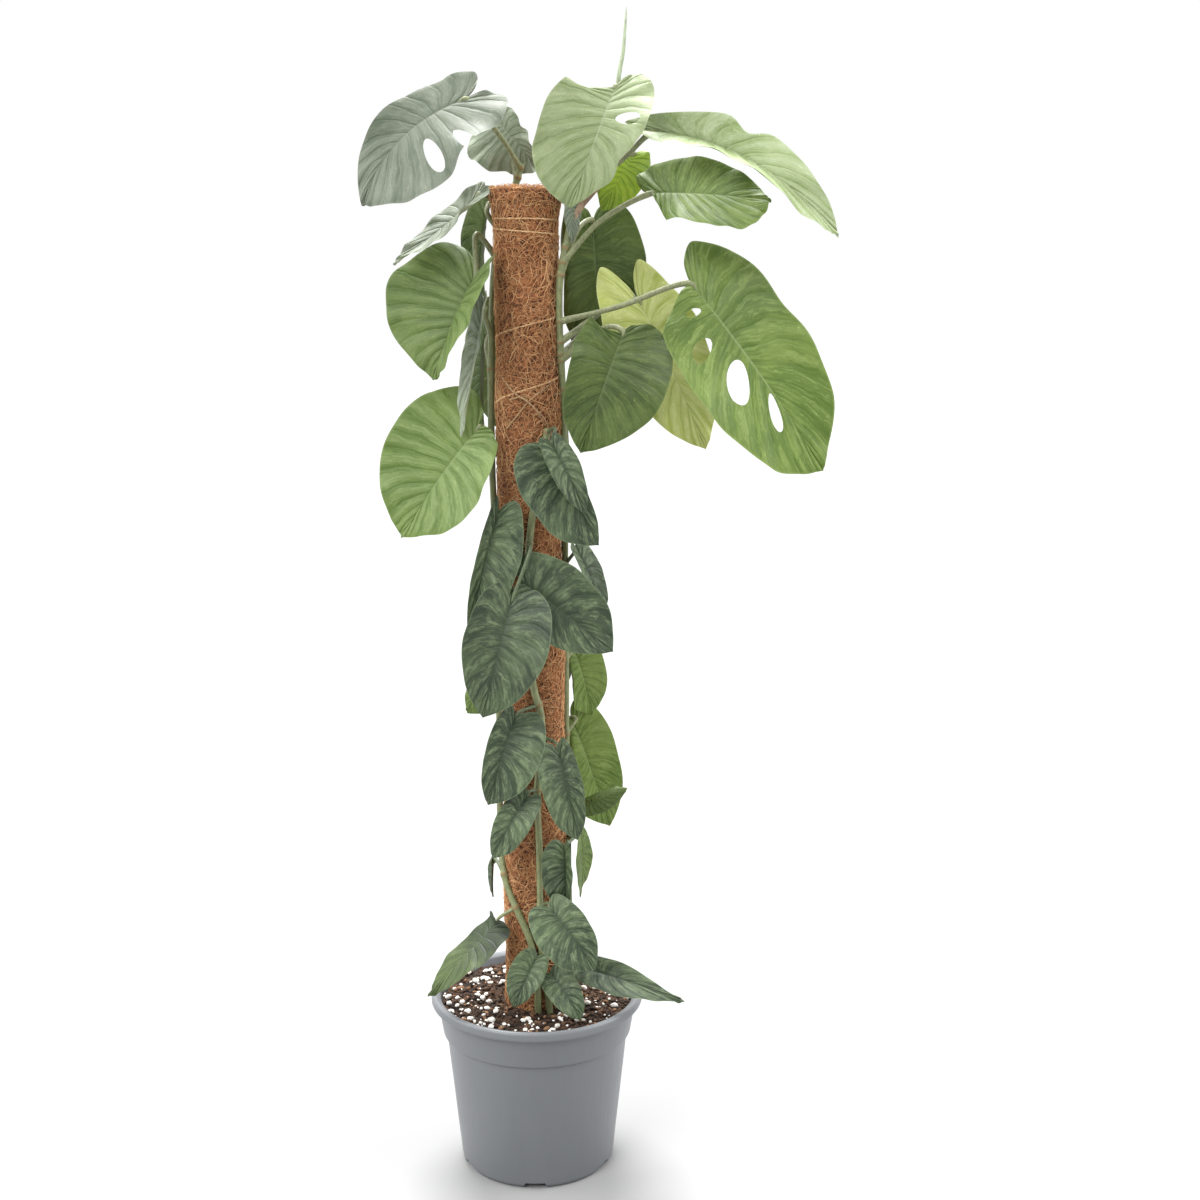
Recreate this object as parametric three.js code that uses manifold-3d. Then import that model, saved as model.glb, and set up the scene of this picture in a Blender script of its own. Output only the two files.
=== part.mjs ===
// A potted monstera dubia that climbs a coir pole, in millimetres, +Z up.
// The origin is the centre of the pot's underside. The front is -Y and +X is to the right.
import * as THREE from "three";
import { mergeVertices } from "three/addons/utils/BufferGeometryUtils.js";
import Module from "manifold-3d";

const wasm = await Module();
wasm.setup();

// Clearance between pieces that touch
const GAP = 0.3;

// Pot
const POT_HEIGHT = 158;
const RIM_RADIUS = 95;
const LIP_HEIGHT = 8.5;
const COLLAR_BOTTOM = 121;
const COLLAR_TOP_RADIUS = 89;
const COLLAR_BOTTOM_RADIUS = 84.5;
const COLLAR_STEP = 3;
const BASE_RADIUS = 68.5;
const POT_WALL = 2.2;
const FLOOR_UNDERSIDE = 4;
const FLOOR_TOP = 6.5;
const CENTRE_PAD_RADIUS = 14;
const DRAIN_HOLES = 6;
const DRAIN_HOLE_RADIUS = 5;
const DRAIN_HOLE_CIRCLE = 42;
const NOTCHES = 6;
const NOTCH_WIDTH = 20;
const NOTCH_HEIGHT = 5;
const NOTCH_TAPER = 2.5;
const FOOT_WIDTH = 3.5;
const POT_SIDES = 32;

// Potting mix
const SOIL_TOP = 149;
const SOIL_ROUGHNESS = 1.1;
const SOIL_RINGS = [72, 56, 43];
const SOIL_SIDES = 24;
const PERLITE_GRAINS = 30;
const BARK_CHIPS = 6;

// Pole
const POLE_TOP = 860;
const POLE_LEAN = -5;
const COIR_RADIUS = 27.3;
const COIR_BOTTOM = 34;
const COIR_FLARE = 2.2;
const TIE_HEIGHT = 832;
const POLE_SIDES = 18;
const STAKE_RADIUS = 12.5;
const STAKE_TOP = 852;
const TWINE_RADIUS = 0.8;
const TWINE_SLACK = 0.5;
const TWINE_TURN_STEP = 19.6;

// Climbing stems
const VINE_RADIUS = 3;
const VINE_SIDES = 5;
const VINE_ROUTE = COIR_RADIUS + 2 * GAP + 2 * TWINE_RADIUS + VINE_RADIUS;

// Leaves
const BLADE = 0.8;
const STALK_GRIP = 1.5;
const STALK_RADIUS = { leaf: 1.9, back: 1.7, shingle: 1.4 };
const STALK_SIDES = 4;
const CLEAR_BLEND = 4;
const LONG_BLADE = 90;
const NET = { rows: 6, columns: 2 };
const LONG_NET = { rows: 7, columns: 2 };
const CUT_NET = { rows: 16, columns: 4 };

// Rolled new leaf
const SPEAR_RADIUS = 3.6;
const SPEAR_LENGTH = 66;
const SPEAR_FOOT = [73, -26, 933];

const group = new THREE.Group();
const DEGREE = Math.PI / 180;

// A number between 0 and 1 that is the same for the same two counts.
function seeded(a, b) {
  const wave = Math.sin(a * 127.1 + b * 311.7 + 17.3) * 43758.5453;
  return wave - Math.floor(wave);
}

// Centre of the leaning pole at a height.
function poleX(z) {
  return (POLE_LEAN * Math.max(0, z - SOIL_TOP)) / (POLE_TOP - SOIL_TOP);
}

// A point round the pole: azimuth 0 is the front and 90 the right.
function roundPole(z, azimuth, radius) {
  const a = azimuth * DEGREE;
  return new THREE.Vector3(poleX(z) + radius * Math.sin(a), -radius * Math.cos(a), z);
}

function solidOf(geometry) {
  const bare = geometry.index ? geometry.toNonIndexed() : geometry.clone();
  bare.deleteAttribute("normal");
  bare.deleteAttribute("uv");
  const merged = mergeVertices(bare, 1e-3);
  return new wasm.Manifold(
    new wasm.Mesh({
      numProp: 3,
      vertProperties: new Float32Array(merged.attributes.position.array),
      triVerts: new Uint32Array(merged.index.array),
    }),
  );
}

function geometryOf(solid) {
  const mesh = solid.getMesh();
  const geometry = new THREE.BufferGeometry();
  geometry.setAttribute("position", new THREE.BufferAttribute(mesh.vertProperties, 3));
  geometry.setIndex(new THREE.BufferAttribute(mesh.triVerts, 1));
  geometry.computeVertexNormals();
  return geometry;
}

function largestBody(solid) {
  const bodies = solid.decompose();
  return bodies.reduce((best, body) => (body.volume() > best.volume() ? body : best));
}

function addMesh(name, geometry, look) {
  const material = new THREE.MeshStandardMaterial({ side: THREE.DoubleSide, ...look });
  const mesh = new THREE.Mesh(geometry, material);
  mesh.name = name;
  group.add(mesh);
}

// A round bar along a smooth curve through the points.
function bar(points, radius, sides, steps) {
  const curve = new THREE.CatmullRomCurve3(points, false, "centripetal");
  const section = new THREE.Shape();
  for (let i = 0; i < sides; i++) {
    const a = (2 * Math.PI * i) / sides;
    const x = radius * Math.cos(a);
    const y = radius * Math.sin(a);
    if (i === 0) section.moveTo(x, y);
    else section.lineTo(x, y);
  }
  section.closePath();
  return new THREE.ExtrudeGeometry(section, { steps, extrudePath: curve, curveSegments: 1 });
}

function lathe(profile, segments) {
  return new THREE.LatheGeometry(
    profile.map(([r, z]) => new THREE.Vector2(r, z)),
    segments,
  ).rotateX(Math.PI / 2);
}

const LOOKS = {
  pot: { color: 0x77797e, roughness: 0.45, metalness: 0 },
  soil: { color: 0x2e2118, roughness: 0.95, metalness: 0 },
  wood: { color: 0xb08d5f, roughness: 0.7, metalness: 0 },
  coir: { color: 0x9a6a42, roughness: 0.95, metalness: 0 },
  twine: { color: 0xb58a5c, roughness: 0.9, metalness: 0 },
  stem: { color: 0x6d8150, roughness: 0.55, metalness: 0 },
  green: { color: 0x55803f, roughness: 0.45, metalness: 0 },
  pale: { color: 0xa3b98c, roughness: 0.5, metalness: 0 },
  young: { color: 0x8fb23a, roughness: 0.45, metalness: 0 },
  shingle: { color: 0x536b50, roughness: 0.45, metalness: 0 },
};

// Pot: a thin tapered wall with a rolled lip, a stepped collar, a raised floor and a centre pad.
function potWall(z) {
  return BASE_RADIUS + ((COLLAR_BOTTOM_RADIUS - COLLAR_STEP - BASE_RADIUS) * z) / COLLAR_BOTTOM;
}

function potInside(z) {
  if (z < COLLAR_BOTTOM) return potWall(z) - POT_WALL;
  const up = (z - COLLAR_BOTTOM) / (POT_HEIGHT - COLLAR_BOTTOM);
  return potWall(COLLAR_BOTTOM) - POT_WALL + up * (COLLAR_TOP_RADIUS - potWall(COLLAR_BOTTOM) + 0.6);
}

function makePot() {
  const lipBottom = POT_HEIGHT - LIP_HEIGHT;
  const foot = BASE_RADIUS - 2.5;
  const profile = [
    [0, 0],
    [CENTRE_PAD_RADIUS, 0],
    [CENTRE_PAD_RADIUS + 1.5, FLOOR_UNDERSIDE],
    [foot - FOOT_WIDTH - 2.5, FLOOR_UNDERSIDE],
    [foot - FOOT_WIDTH, 0],
    [foot, 0],
    [BASE_RADIUS + 0.4, 3.5],
    [potWall(COLLAR_BOTTOM - 0.8), COLLAR_BOTTOM - 0.8],
    [COLLAR_BOTTOM_RADIUS, COLLAR_BOTTOM + 0.6],
    [COLLAR_TOP_RADIUS, lipBottom - 0.8],
    [RIM_RADIUS - 0.9, lipBottom],
    [RIM_RADIUS, lipBottom + 1.2],
    [RIM_RADIUS - 0.2, POT_HEIGHT - 1.6],
    [RIM_RADIUS - 1.4, POT_HEIGHT],
    [RIM_RADIUS - 4, POT_HEIGHT],
    [potInside(POT_HEIGHT - 1.4), POT_HEIGHT - 1.4],
    [potInside(COLLAR_BOTTOM), COLLAR_BOTTOM],
    [potInside(FLOOR_TOP + 1.5), FLOOR_TOP + 1.5],
    [potInside(FLOOR_TOP) - 2, FLOOR_TOP],
    [0, FLOOR_TOP],
  ];
  let pot = solidOf(lathe(profile, POT_SIDES));
  for (let i = 0; i < DRAIN_HOLES; i++) {
    const a = ((i + 0.5) * 2 * Math.PI) / DRAIN_HOLES;
    const hole = new THREE.CylinderGeometry(DRAIN_HOLE_RADIUS, DRAIN_HOLE_RADIUS, 2 * FLOOR_TOP, 8)
      .rotateX(Math.PI / 2)
      .translate(DRAIN_HOLE_CIRCLE * Math.cos(a), DRAIN_HOLE_CIRCLE * Math.sin(a), FLOOR_TOP);
    pot = pot.subtract(solidOf(hole));
  }
  const notchOutline = new THREE.Shape();
  notchOutline.moveTo(-NOTCH_WIDTH / 2, -1);
  notchOutline.lineTo(NOTCH_WIDTH / 2, -1);
  notchOutline.lineTo(NOTCH_WIDTH / 2 - NOTCH_TAPER, NOTCH_HEIGHT);
  notchOutline.lineTo(-NOTCH_WIDTH / 2 + NOTCH_TAPER, NOTCH_HEIGHT);
  notchOutline.closePath();
  for (let i = 0; i < NOTCHES; i++) {
    const notch = new THREE.ExtrudeGeometry(notchOutline, { depth: 4, bevelEnabled: false })
      .rotateX(Math.PI / 2)
      .translate(0, -BASE_RADIUS + 3.2, 0)
      .rotateZ((i * 2 * Math.PI) / NOTCHES);
    pot = pot.subtract(solidOf(notch));
  }
  addMesh("pot", geometryOf(pot), LOOKS.pot);
}

// Coir: a rolled mat that bulges a little between its ties and flares at the top.
function coirRadius(height) {
  const z = Math.max(height, SOIL_TOP);
  const bulge = 0.7 * Math.sin(z * 0.031) + 0.4 * Math.sin(z * 0.083 + 1);
  const flare = COIR_FLARE * THREE.MathUtils.smoothstep(z, POLE_TOP - 22, POLE_TOP - 4);
  const tie = -1.1 * Math.exp(-(((z - TIE_HEIGHT) / 9) ** 2));
  const base = 1.6 * (1 - THREE.MathUtils.smoothstep(z, SOIL_TOP, SOIL_TOP + 60));
  return COIR_RADIUS - 1.1 + bulge + flare + tie + base;
}

// Leans a piece of the pole with its height.
function lean(geometry) {
  const position = geometry.attributes.position;
  for (let i = 0; i < position.count; i++) {
    position.setX(i, position.getX(i) + poleX(position.getZ(i)));
  }
  return geometry;
}

function makePole() {
  const bore = STAKE_RADIUS + GAP;
  const levels = [COIR_BOTTOM, SOIL_TOP, 190, 240, 300, 360, 420, 480, 540, 600, 660, 720, 770];
  levels.push(812, 826, TIE_HEIGHT, 840, 850, POLE_TOP - 3);
  const profile = [[bore, COIR_BOTTOM], ...levels.map((z) => [coirRadius(z), z])];
  profile.push([coirRadius(POLE_TOP) - 2.5, POLE_TOP]);
  profile.push([bore + 2, POLE_TOP]);
  profile.push([bore, POLE_TOP - 3]);
  profile.push([bore, SOIL_TOP]);
  profile.push([bore, COIR_BOTTOM]);
  addMesh("coir_wrap", lean(lathe(profile, POLE_SIDES)), LOOKS.coir);
  const rod = [
    [0, FLOOR_TOP + GAP],
    [STAKE_RADIUS, FLOOR_TOP + GAP],
    [STAKE_RADIUS, SOIL_TOP],
    [STAKE_RADIUS, STAKE_TOP],
    [0, STAKE_TOP],
  ];
  addMesh("pole_stake", lean(lathe(rod, POLE_SIDES)), LOOKS.wood);
}

// Twine: two turns under the top, and a spiral lower down that winds the other way.
const TWINE_TOP = [
  [838, -170],
  [835, 0],
  [832, 180],
  [828, 270],
  [822, 450],
  [820, 540],
];
const TWINE_LOWER = [
  [772, 200],
  [757, 80],
  [739, -90],
  [722, -200],
  [706, -295],
  [684, -440],
  [668, -540],
];

function makeTwine(name, route) {
  const points = [];
  const steps = Math.round(Math.abs(route.at(-1)[1] - route[0][1]) / TWINE_TURN_STEP);
  for (let i = 0; i <= steps; i++) {
    const at = (i / steps) * (route.length - 1);
    const k = Math.min(Math.floor(at), route.length - 2);
    const [z0, a0] = route[k];
    const [z1, a1] = route[k + 1];
    const z = z0 + (z1 - z0) * (at - k);
    const azimuth = a0 + (a1 - a0) * (at - k);
    points.push(roundPole(z, azimuth, coirRadius(z) + GAP + TWINE_RADIUS + TWINE_SLACK));
  }
  addMesh(name, bar(points, TWINE_RADIUS, 4, steps), LOOKS.twine);
}

// Climbing stems: height, azimuth round the pole and distance beyond the usual route.
const VINES = {
  left: [
    [96, 4, 4],
    [150, 4, 3],
    [188, 2, 2],
    [215, -8, 0],
    [241, -30, 0],
    [264, -58, 0],
    [292, -84, 0],
    [430, -97, 0],
    [560, -92, 0],
    [640, -88, 2],
    [740, -98, 1],
    [812, -122, 0],
    [862, -160, 1],
    [884, -172, 1],
  ],
  front: [
    [96, 24, 4],
    [150, 22, 3],
    [200, 12, 0],
    [300, 10, 0],
    [350, 8, 0],
    [415, 17, 0],
    [445, 4, 0],
    [530, -4, 0],
    [590, 6, 0],
    [640, 24, 0],
    [664, 34, 1],
  ],
  right: [
    [96, 62, 6],
    [150, 66, 4],
    [230, 92, 0],
    [400, 104, 0],
    [560, 96, 0],
    [680, 84, 0],
    [745, 68, 0],
    [785, 66, 1],
    [815, 70, 6],
    [842, 76, 12],
    [866, 80, 22],
  ],
  back: [
    [96, 170, 4],
    [150, 168, 3],
    [220, 178, 0],
    [400, 186, 0],
    [560, 176, 0],
    [700, 184, 0],
    [770, 180, 0],
  ],
};

const vineCurves = {};
const vineSolids = {};
const vineClearances = {};

function makeVines() {
  for (const [name, route] of Object.entries(VINES)) {
    const points = route.map(([z, azimuth, off]) => roundPole(z, azimuth, VINE_ROUTE + off));
    const steps = 2 * route.length;
    vineCurves[name] = new THREE.CatmullRomCurve3(points, false, "centripetal");
    vineSolids[name] = solidOf(bar(points, VINE_RADIUS, VINE_SIDES, steps));
    vineClearances[name] = solidOf(bar(points, VINE_RADIUS + GAP + 0.1, VINE_SIDES, steps));
    addMesh("vine_" + name, geometryOf(vineSolids[name]), LOOKS.stem);
  }
}

// The point of a vine's centre line at a height.
function vineAt(name, z) {
  let low = 0;
  let high = 1;
  for (let i = 0; i < 40; i++) {
    const middle = (low + high) / 2;
    if (vineCurves[name].getPoint(middle).z < z) low = middle;
    else high = middle;
  }
  return vineCurves[name].getPoint(low);
}

// Potting mix: a filled ring round the pole with holes for the stems, and grains on its surface.
function soilHeight(x, y) {
  const rough = Math.sin(x * 0.21 + 1) * Math.cos(y * 0.19) + 0.6 * Math.sin(x * 0.07 - y * 0.11);
  return SOIL_TOP + SOIL_ROUGHNESS * rough;
}

function makeSoil() {
  const bottom = FLOOR_TOP + GAP;
  const hole = coirRadius(SOIL_TOP) + 1.2;
  const outer = (z) => potInside(z) - GAP - 0.35;
  const profile = [
    [STAKE_RADIUS + GAP + 0.6, bottom],
    [outer(FLOOR_TOP + 1.5) - 2.4, bottom],
    [outer(FLOOR_TOP + 2.5), FLOOR_TOP + 2.5],
    [outer(COLLAR_BOTTOM), COLLAR_BOTTOM],
    [outer(SOIL_TOP), SOIL_TOP],
    ...SOIL_RINGS.map((r) => [r, SOIL_TOP]),
    [hole, SOIL_TOP],
    [hole, COIR_BOTTOM - GAP],
    [STAKE_RADIUS + GAP + 0.6, COIR_BOTTOM - GAP],
    [STAKE_RADIUS + GAP + 0.6, bottom],
  ];
  const body = lathe(profile, SOIL_SIDES);
  const position = body.attributes.position;
  for (let i = 0; i < position.count; i++) {
    if (position.getZ(i) > SOIL_TOP - 0.5) {
      position.setZ(i, soilHeight(position.getX(i), position.getY(i)));
    }
  }
  let soil = solidOf(body);
  const inner = 38;
  const reach = potInside(SOIL_TOP) - 6 - inner;
  for (let i = 0; i < PERLITE_GRAINS + BARK_CHIPS; i++) {
    const azimuth = i * 137.508 * DEGREE + seeded(i, 1);
    const r = inner + reach * Math.sqrt(seeded(i, 2));
    const x = r * Math.sin(azimuth);
    const y = -r * Math.cos(azimuth);
    const size = 2 + 1.4 * seeded(i, 3);
    const grain =
      i < PERLITE_GRAINS
        ? new THREE.OctahedronGeometry(size, 0).rotateX(2 * seeded(i, 4))
        : new THREE.BoxGeometry(3.5 * size, 2 * size, size).rotateX(0.7 * seeded(i, 5));
    grain.rotateZ(6 * seeded(i, 6)).translate(x, y, soilHeight(x, y) + 0.25 * size);
    soil = soil.add(solidOf(grain));
  }
  for (const clearance of Object.values(vineClearances)) soil = soil.subtract(clearance);
  addMesh("soil", geometryOf(largestBody(soil)), LOOKS.soil);
}

// One side of a heart-shaped blade, from the notch at the stalk to the tip:
// across in half widths, and along in blade lengths.
const HEART = [
  [0, 0],
  [0.13, -0.085],
  [0.46, -0.13],
  [0.82, 0],
  [1, 0.26],
  [0.94, 0.5],
  [0.7, 0.74],
  [0.3, 0.91],
  [0.08, 0.975],
  [0, 1],
].map(([x, y]) => new THREE.Vector2(x, y));
const HEART_CURVE = new THREE.SplineCurve(HEART);

// Leaves. base and tip are the ends of the midrib, face is the way that the upper side looks,
// and width is the two half widths, left and right with the tip pointing down. arch bows the midrib
// towards the face, in blade lengths. fold lifts each side at the midrib and curl bends it on towards
// its edge, in degrees. wave is the ripple of the edge, lobe the size of the two lobes, skew how far
// each side is swept towards the tip, and clear the distance that the blade keeps from the pole's
// axis. A hole is a side, where it starts and ends from notch to tip, and where it starts and ends
// from midrib to edge: past 1 it is open at the edge. stem and at say where the stalk leaves its
// vine, and via is where it bends.
const LEAVES = [
  {
    name: "leaf_top_left", look: "pale", stem: "left", at: 880, via: [-27, 12, 905],
    base: [-52, -10, 931], tip: [-133, -55, 843], face: [-0.25, -0.66, 0.7], width: [29, 60],
    arch: 0.05, fold: [-20, -4], curl: [-30, -8], lobe: [1.4, 1.8], skew: [0, 0.12], wave: 2.5,
    holes: [[1, 0.5, 0.5625, 0.3, 0.9], [1, 0.375, 0.4375, 0.5, 1.2]],
  },
  {
    name: "leaf_top_rear", look: "pale", stem: "left", at: 872, via: [-20, 42, 892],
    base: [-32, 45, 922], tip: [5, 43, 879], face: [-0.2, -0.85, 0.3], width: [36, 18],
    arch: 0.1, fold: [4, -35], curl: [-10, -20], wave: 2,
  },
  {
    name: "leaf_top_centre", look: "pale", stem: "right", at: 862, via: [62, -14, 900],
    base: [70, -33, 938], tip: [34, -70, 840], face: [0.12, -0.9, 0.42], width: [49, 35],
    arch: 0.08, fold: [-6, -6], curl: [-22, -18], lobe: [-0.9, 0.9], skew: [0.08, -0.08], wave: 1.5,
    holes: [[1, 0.4375, 0.5, 0.25, 0.8]],
  },
  {
    name: "leaf_arching_right", look: "green", stem: "right", at: 856, via: [76, -4, 884],
    base: [100, -10, 905], tip: [247, -60, 818], face: [0.3, -0.6, 0.75], width: [34, 30],
    arch: 0.19, fold: [-8, -72], curl: [-20, -30], wave: 2,
    holes: [[-1, 0.5625, 0.625, 0.5, 1.2]],
  },
  {
    name: "leaf_upper_right", look: "green", stem: "right", at: 800, via: [58, -16, 834],
    base: [99, -15, 856], tip: [193, -60, 847], face: [0.1, -0.86, 0.5], width: [37, 32],
    arch: 0.02, fold: [-4, -4], curl: [-14, -18], lobe: [0, 1], skew: [0.3, -0.05], wave: 1.5,
  },
  {
    name: "leaf_young", look: "young", stem: "right", at: 850, via: [58, 8, 874],
    base: [86, 14, 890], tip: [58, 8, 843], face: [0.1, -0.95, 0.2], width: [18, 20],
    arch: 0.08, fold: [6, 6], curl: [-8, -8], wave: 1,
  },
  {
    name: "leaf_great_right", look: "green", stem: "right", at: 752, via: [72, -26, 764],
    base: [131, -30, 783], tip: [239, -62, 632], face: [0.1, -0.92, 0.36], width: [58, 54],
    arch: 0.05, fold: [-3, -5], curl: [-14, -16], lobe: [0.2, 1.1], skew: [0.16, 0], wave: 2,
    holes: [[-1, 0.5, 0.625, 0.12, 0.58], [-1, 0.6875, 0.75, 0.05, 0.5],
      [-1, 0.385, 0.43, 0.3, 0.72], [-1, 0.265, 0.31, 0.2, 0.55]],
  },
  {
    name: "leaf_middle_right", look: "green", stem: "right", at: 720, via: [64, -34, 748],
    base: [76, -42, 744], tip: [41, -55, 646], face: [0.05, -0.95, 0.25], width: [36, 50],
    arch: 0.06, fold: [-12, -4], curl: [-18, -14], lobe: [-0.3, 0.9], wave: 1.5,
  },
  {
    name: "leaf_yellow_right", look: "young", stem: "right", at: 735, via: [66, 6, 764],
    base: [89, 4, 770], tip: [147, -4, 645], face: [0.05, -0.95, 0.2], width: [42, 37],
    arch: 0.05, fold: [-4, -4], curl: [-10, -14], lobe: [2, 1.6], wave: 1.5,
  },
  {
    name: "leaf_dark_right", look: "green", stem: "right", at: 790, via: [40, 6, 830],
    base: [51, 22, 836], tip: [55, 34, 716.5], face: [0.1, -0.95, 0.1], width: [34, 42],
    arch: 0.05, fold: [4, 2], curl: [-14, -18], wave: 1.5, clear: 38,
  },
  {
    name: "leaf_shaded_right", look: "green", stem: "right", at: 725, via: [37, 3, 737],
    base: [38, 6, 744], tip: [54, 6, 712], face: [0.2, -0.9, 0.1], width: [16, 16],
    arch: 0.05, fold: [0, 0], curl: [-10, -10], clear: 38,
  },
  {
    name: "leaf_strip_right", look: "young", stem: "right", at: 696, via: [36, 22, 706],
    base: [35, 26, 712], tip: [29, 30, 660], face: [0.8, -0.5, 0.1], width: [18, 14],
    arch: 0.05, fold: [0, 0], curl: [-10, -10], clear: 38,
  },
  {
    name: "leaf_sliver_right", look: "pale", stem: "right", at: 812, via: [38, -8, 850],
    base: [31, -14, 856], tip: [32, -14, 816], face: [0.6, -0.8, 0.1], width: [10, 10],
    arch: 0.05, fold: [0, 0], curl: [-10, -10], clear: 37,
  },
  {
    name: "leaf_broad_left", look: "green", stem: "left", at: 806, via: [-46, 2, 824],
    base: [-46, -12, 790], tip: [-81, -30, 704], face: [-0.25, -0.92, 0.28], width: [63, 46],
    arch: 0.07, fold: [-4, -45], curl: [-14, -16], lobe: [1.6, 1.2], wave: 2,
  },
  {
    name: "leaf_folded_left", look: "pale", stem: "left", at: 844, via: [-40, 8, 856],
    base: [-44, 2, 856], tip: [-112, -34, 798], face: [-0.4, -0.55, 0.72], width: [14, 22],
    arch: -0.03, fold: [-10, -10], curl: [-20, -20], wave: 1.5,
  },
  {
    name: "leaf_hanging_left", look: "green", stem: "left", at: 826, via: [-42, 22, 846],
    base: [-42, 22, 850], tip: [-47, 20, 764], face: [-0.5, -0.85, 0.1], width: [16, 16],
    arch: 0.05, fold: [0, 0], curl: [-14, -14], clear: 38,
  },
  {
    name: "leaf_strip_left", look: "pale", stem: "left", at: 740, via: [-40, -16, 762],
    base: [-38, -26, 763], tip: [-59, -28, 657], face: [-0.85, -0.5, 0.15], width: [14, 14],
    arch: 0, fold: [-20, -20], curl: [-14, -14], clear: 38.5,
  },
  {
    name: "leaf_shaded_left", look: "green", stem: "left", at: 712, via: [-44, 6, 738],
    base: [-46, 7, 740], tip: [-51, 4, 656], face: [-0.6, -0.8, 0.1], width: [18, 18],
    arch: 0.05, fold: [0, 0], curl: [-10, -10], clear: 39,
  },
  {
    name: "leaf_lower_left", look: "green", stem: "left", at: 640, via: [-42, -12, 664],
    base: [-44, -20, 665], tip: [-109, -40, 574], face: [-0.2, -0.93, 0.3], width: [60, 44],
    arch: 0.05, fold: [-4, -8], curl: [-14, -16], lobe: [1.5, 1], wave: 2,
  },
  {
    name: "shingle_1", look: "shingle", stem: "front", at: 661, via: [20, -41, 665],
    base: [17, -49, 653], tip: [45, -56, 596], face: [0.3, -0.94, 0.15], width: [15, 13],
    arch: 0.08, fold: [-12, -12], curl: [-16, -16], clear: 50,
  },
  {
    name: "shingle_2", look: "shingle", stem: "front", at: 650, via: [13, -38, 655],
    base: [12, -40, 651], tip: [56, -42, 568], face: [0.15, -0.96, 0.15], width: [40, 14],
    arch: 0.06, fold: [-6, -24], curl: [-14, -20], lobe: [0.8, -0.6], skew: [0.05, 0], clear: 39,
  },
  {
    name: "shingle_3", look: "shingle", stem: "left", at: 575, via: [-36, -22, 590],
    base: [-28, -36, 594], tip: [-55, -33, 488], face: [-0.25, -0.95, 0.1], width: [10, 32],
    arch: 0.02, fold: [-30, -6], curl: [-30, -14], clear: 38,
  },
  {
    name: "shingle_4", look: "shingle", stem: "front", at: 545, via: [-8, -38, 548],
    base: [-9, -41, 538], tip: [68, -45, 478], face: [0.15, -0.97, 0.15], width: [30, 37],
    arch: 0.06, fold: [-5, -8], curl: [-14, -24], lobe: [0.1, 1], clear: 40,
  },
  {
    name: "shingle_5", look: "shingle", stem: "front", at: 568, via: [-1, -51, 565],
    base: [-16, -57, 523], tip: [-41, -66, 426], face: [-0.05, -0.98, 0.2], width: [31, 42],
    arch: 0.06, fold: [-5, -6], curl: [-20, -20], clear: 55,
  },
  {
    name: "shingle_6", look: "shingle", stem: "right", at: 545, via: [36, -4, 558],
    base: [35, -10, 560], tip: [60, -5, 496], face: [0.8, -0.5, 0.25], width: [16, 16],
    arch: 0.06, fold: [-10, -10], curl: [-20, -20], clear: 37.5,
  },
  {
    name: "shingle_7", look: "green", stem: "right", at: 460, via: [36, 10, 468],
    base: [33, 16, 466], tip: [51, 22, 409], face: [0.3, -0.9, 0.1], width: [22, 13],
    arch: 0.05, fold: [-4, -4], curl: [-14, -14], clear: 37.5,
  },
  {
    name: "shingle_8", look: "green", stem: "left", at: 440, via: [-39, 4, 446],
    base: [-40, 4, 444], tip: [-60, 6, 412], face: [-0.5, -0.8, 0.1], width: [14, 20],
    arch: 0.05, fold: [6, 6], curl: [-10, -10], clear: 37.5,
  },
  {
    name: "shingle_9", look: "shingle", stem: "front", at: 428, via: [-12, -40, 424],
    base: [-15, -40, 419], tip: [-39, -46, 344], face: [-0.15, -0.97, 0.15], width: [17, 35],
    arch: 0.05, fold: [-20, -5], curl: [-20, -16], clear: 39,
  },
  {
    name: "shingle_10", look: "shingle", stem: "front", at: 400, via: [20, -38, 396],
    base: [21, -44, 391], tip: [38, -50, 314], face: [0.3, -0.94, 0.15], width: [25, 15],
    arch: 0.06, fold: [-6, -20], curl: [-14, -30], clear: 44,
  },
  {
    name: "shingle_11", look: "green", stem: "right", at: 393, via: [35, 9, 402],
    base: [34, 14, 400], tip: [67, 14, 302], face: [0.25, -0.95, 0.1], width: [24, 20],
    arch: 0.05, fold: [-4, -4], curl: [-10, -14], clear: 37.5,
  },
  {
    name: "shingle_12", look: "green", stem: "right", at: 330, via: [38, -8, 334],
    base: [40, -12, 332], tip: [81, -15, 350], face: [0.1, -0.8, 0.6], width: [14, 12],
    arch: 0.05, fold: [30, 30], curl: [30, 30], clear: 37.5,
  },
  {
    name: "shingle_13", look: "shingle", stem: "front", at: 352, via: [-4, -40, 354],
    base: [-6, -41, 349], tip: [-36, -42, 295], face: [-0.3, -0.94, 0.15], width: [14, 19],
    arch: 0.06, fold: [-10, -6], curl: [-14, -16], clear: 39,
  },
  {
    name: "shingle_14", look: "shingle", stem: "right", at: 300, via: [35, -22, 308],
    base: [26, -36, 303], tip: [27, -36, 246], face: [0.1, -0.98, 0.1], width: [22, 14],
    arch: 0.05, fold: [-6, -60], curl: [-14, -20], clear: 38,
  },
  {
    name: "shingle_15", look: "green", stem: "right", at: 296, via: [37, 2, 302],
    base: [37, 2, 301], tip: [33, 2, 243], face: [0.8, -0.6, 0.1], width: [15, 15],
    arch: 0.08, fold: [0, 0], curl: [-14, -14], clear: 37.5,
  },
  {
    name: "shingle_16", look: "shingle", stem: "left", at: 270, via: [-36, 6, 277],
    base: [-35, 10, 274], tip: [-36, 10, 240], face: [-0.7, -0.7, 0.1], width: [9, 9],
    arch: 0.05, fold: [0, 0], curl: [-14, -14], clear: 37.5,
  },
  {
    name: "shingle_17", look: "shingle", stem: "front", at: 246, via: [12, -44, 255],
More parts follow.
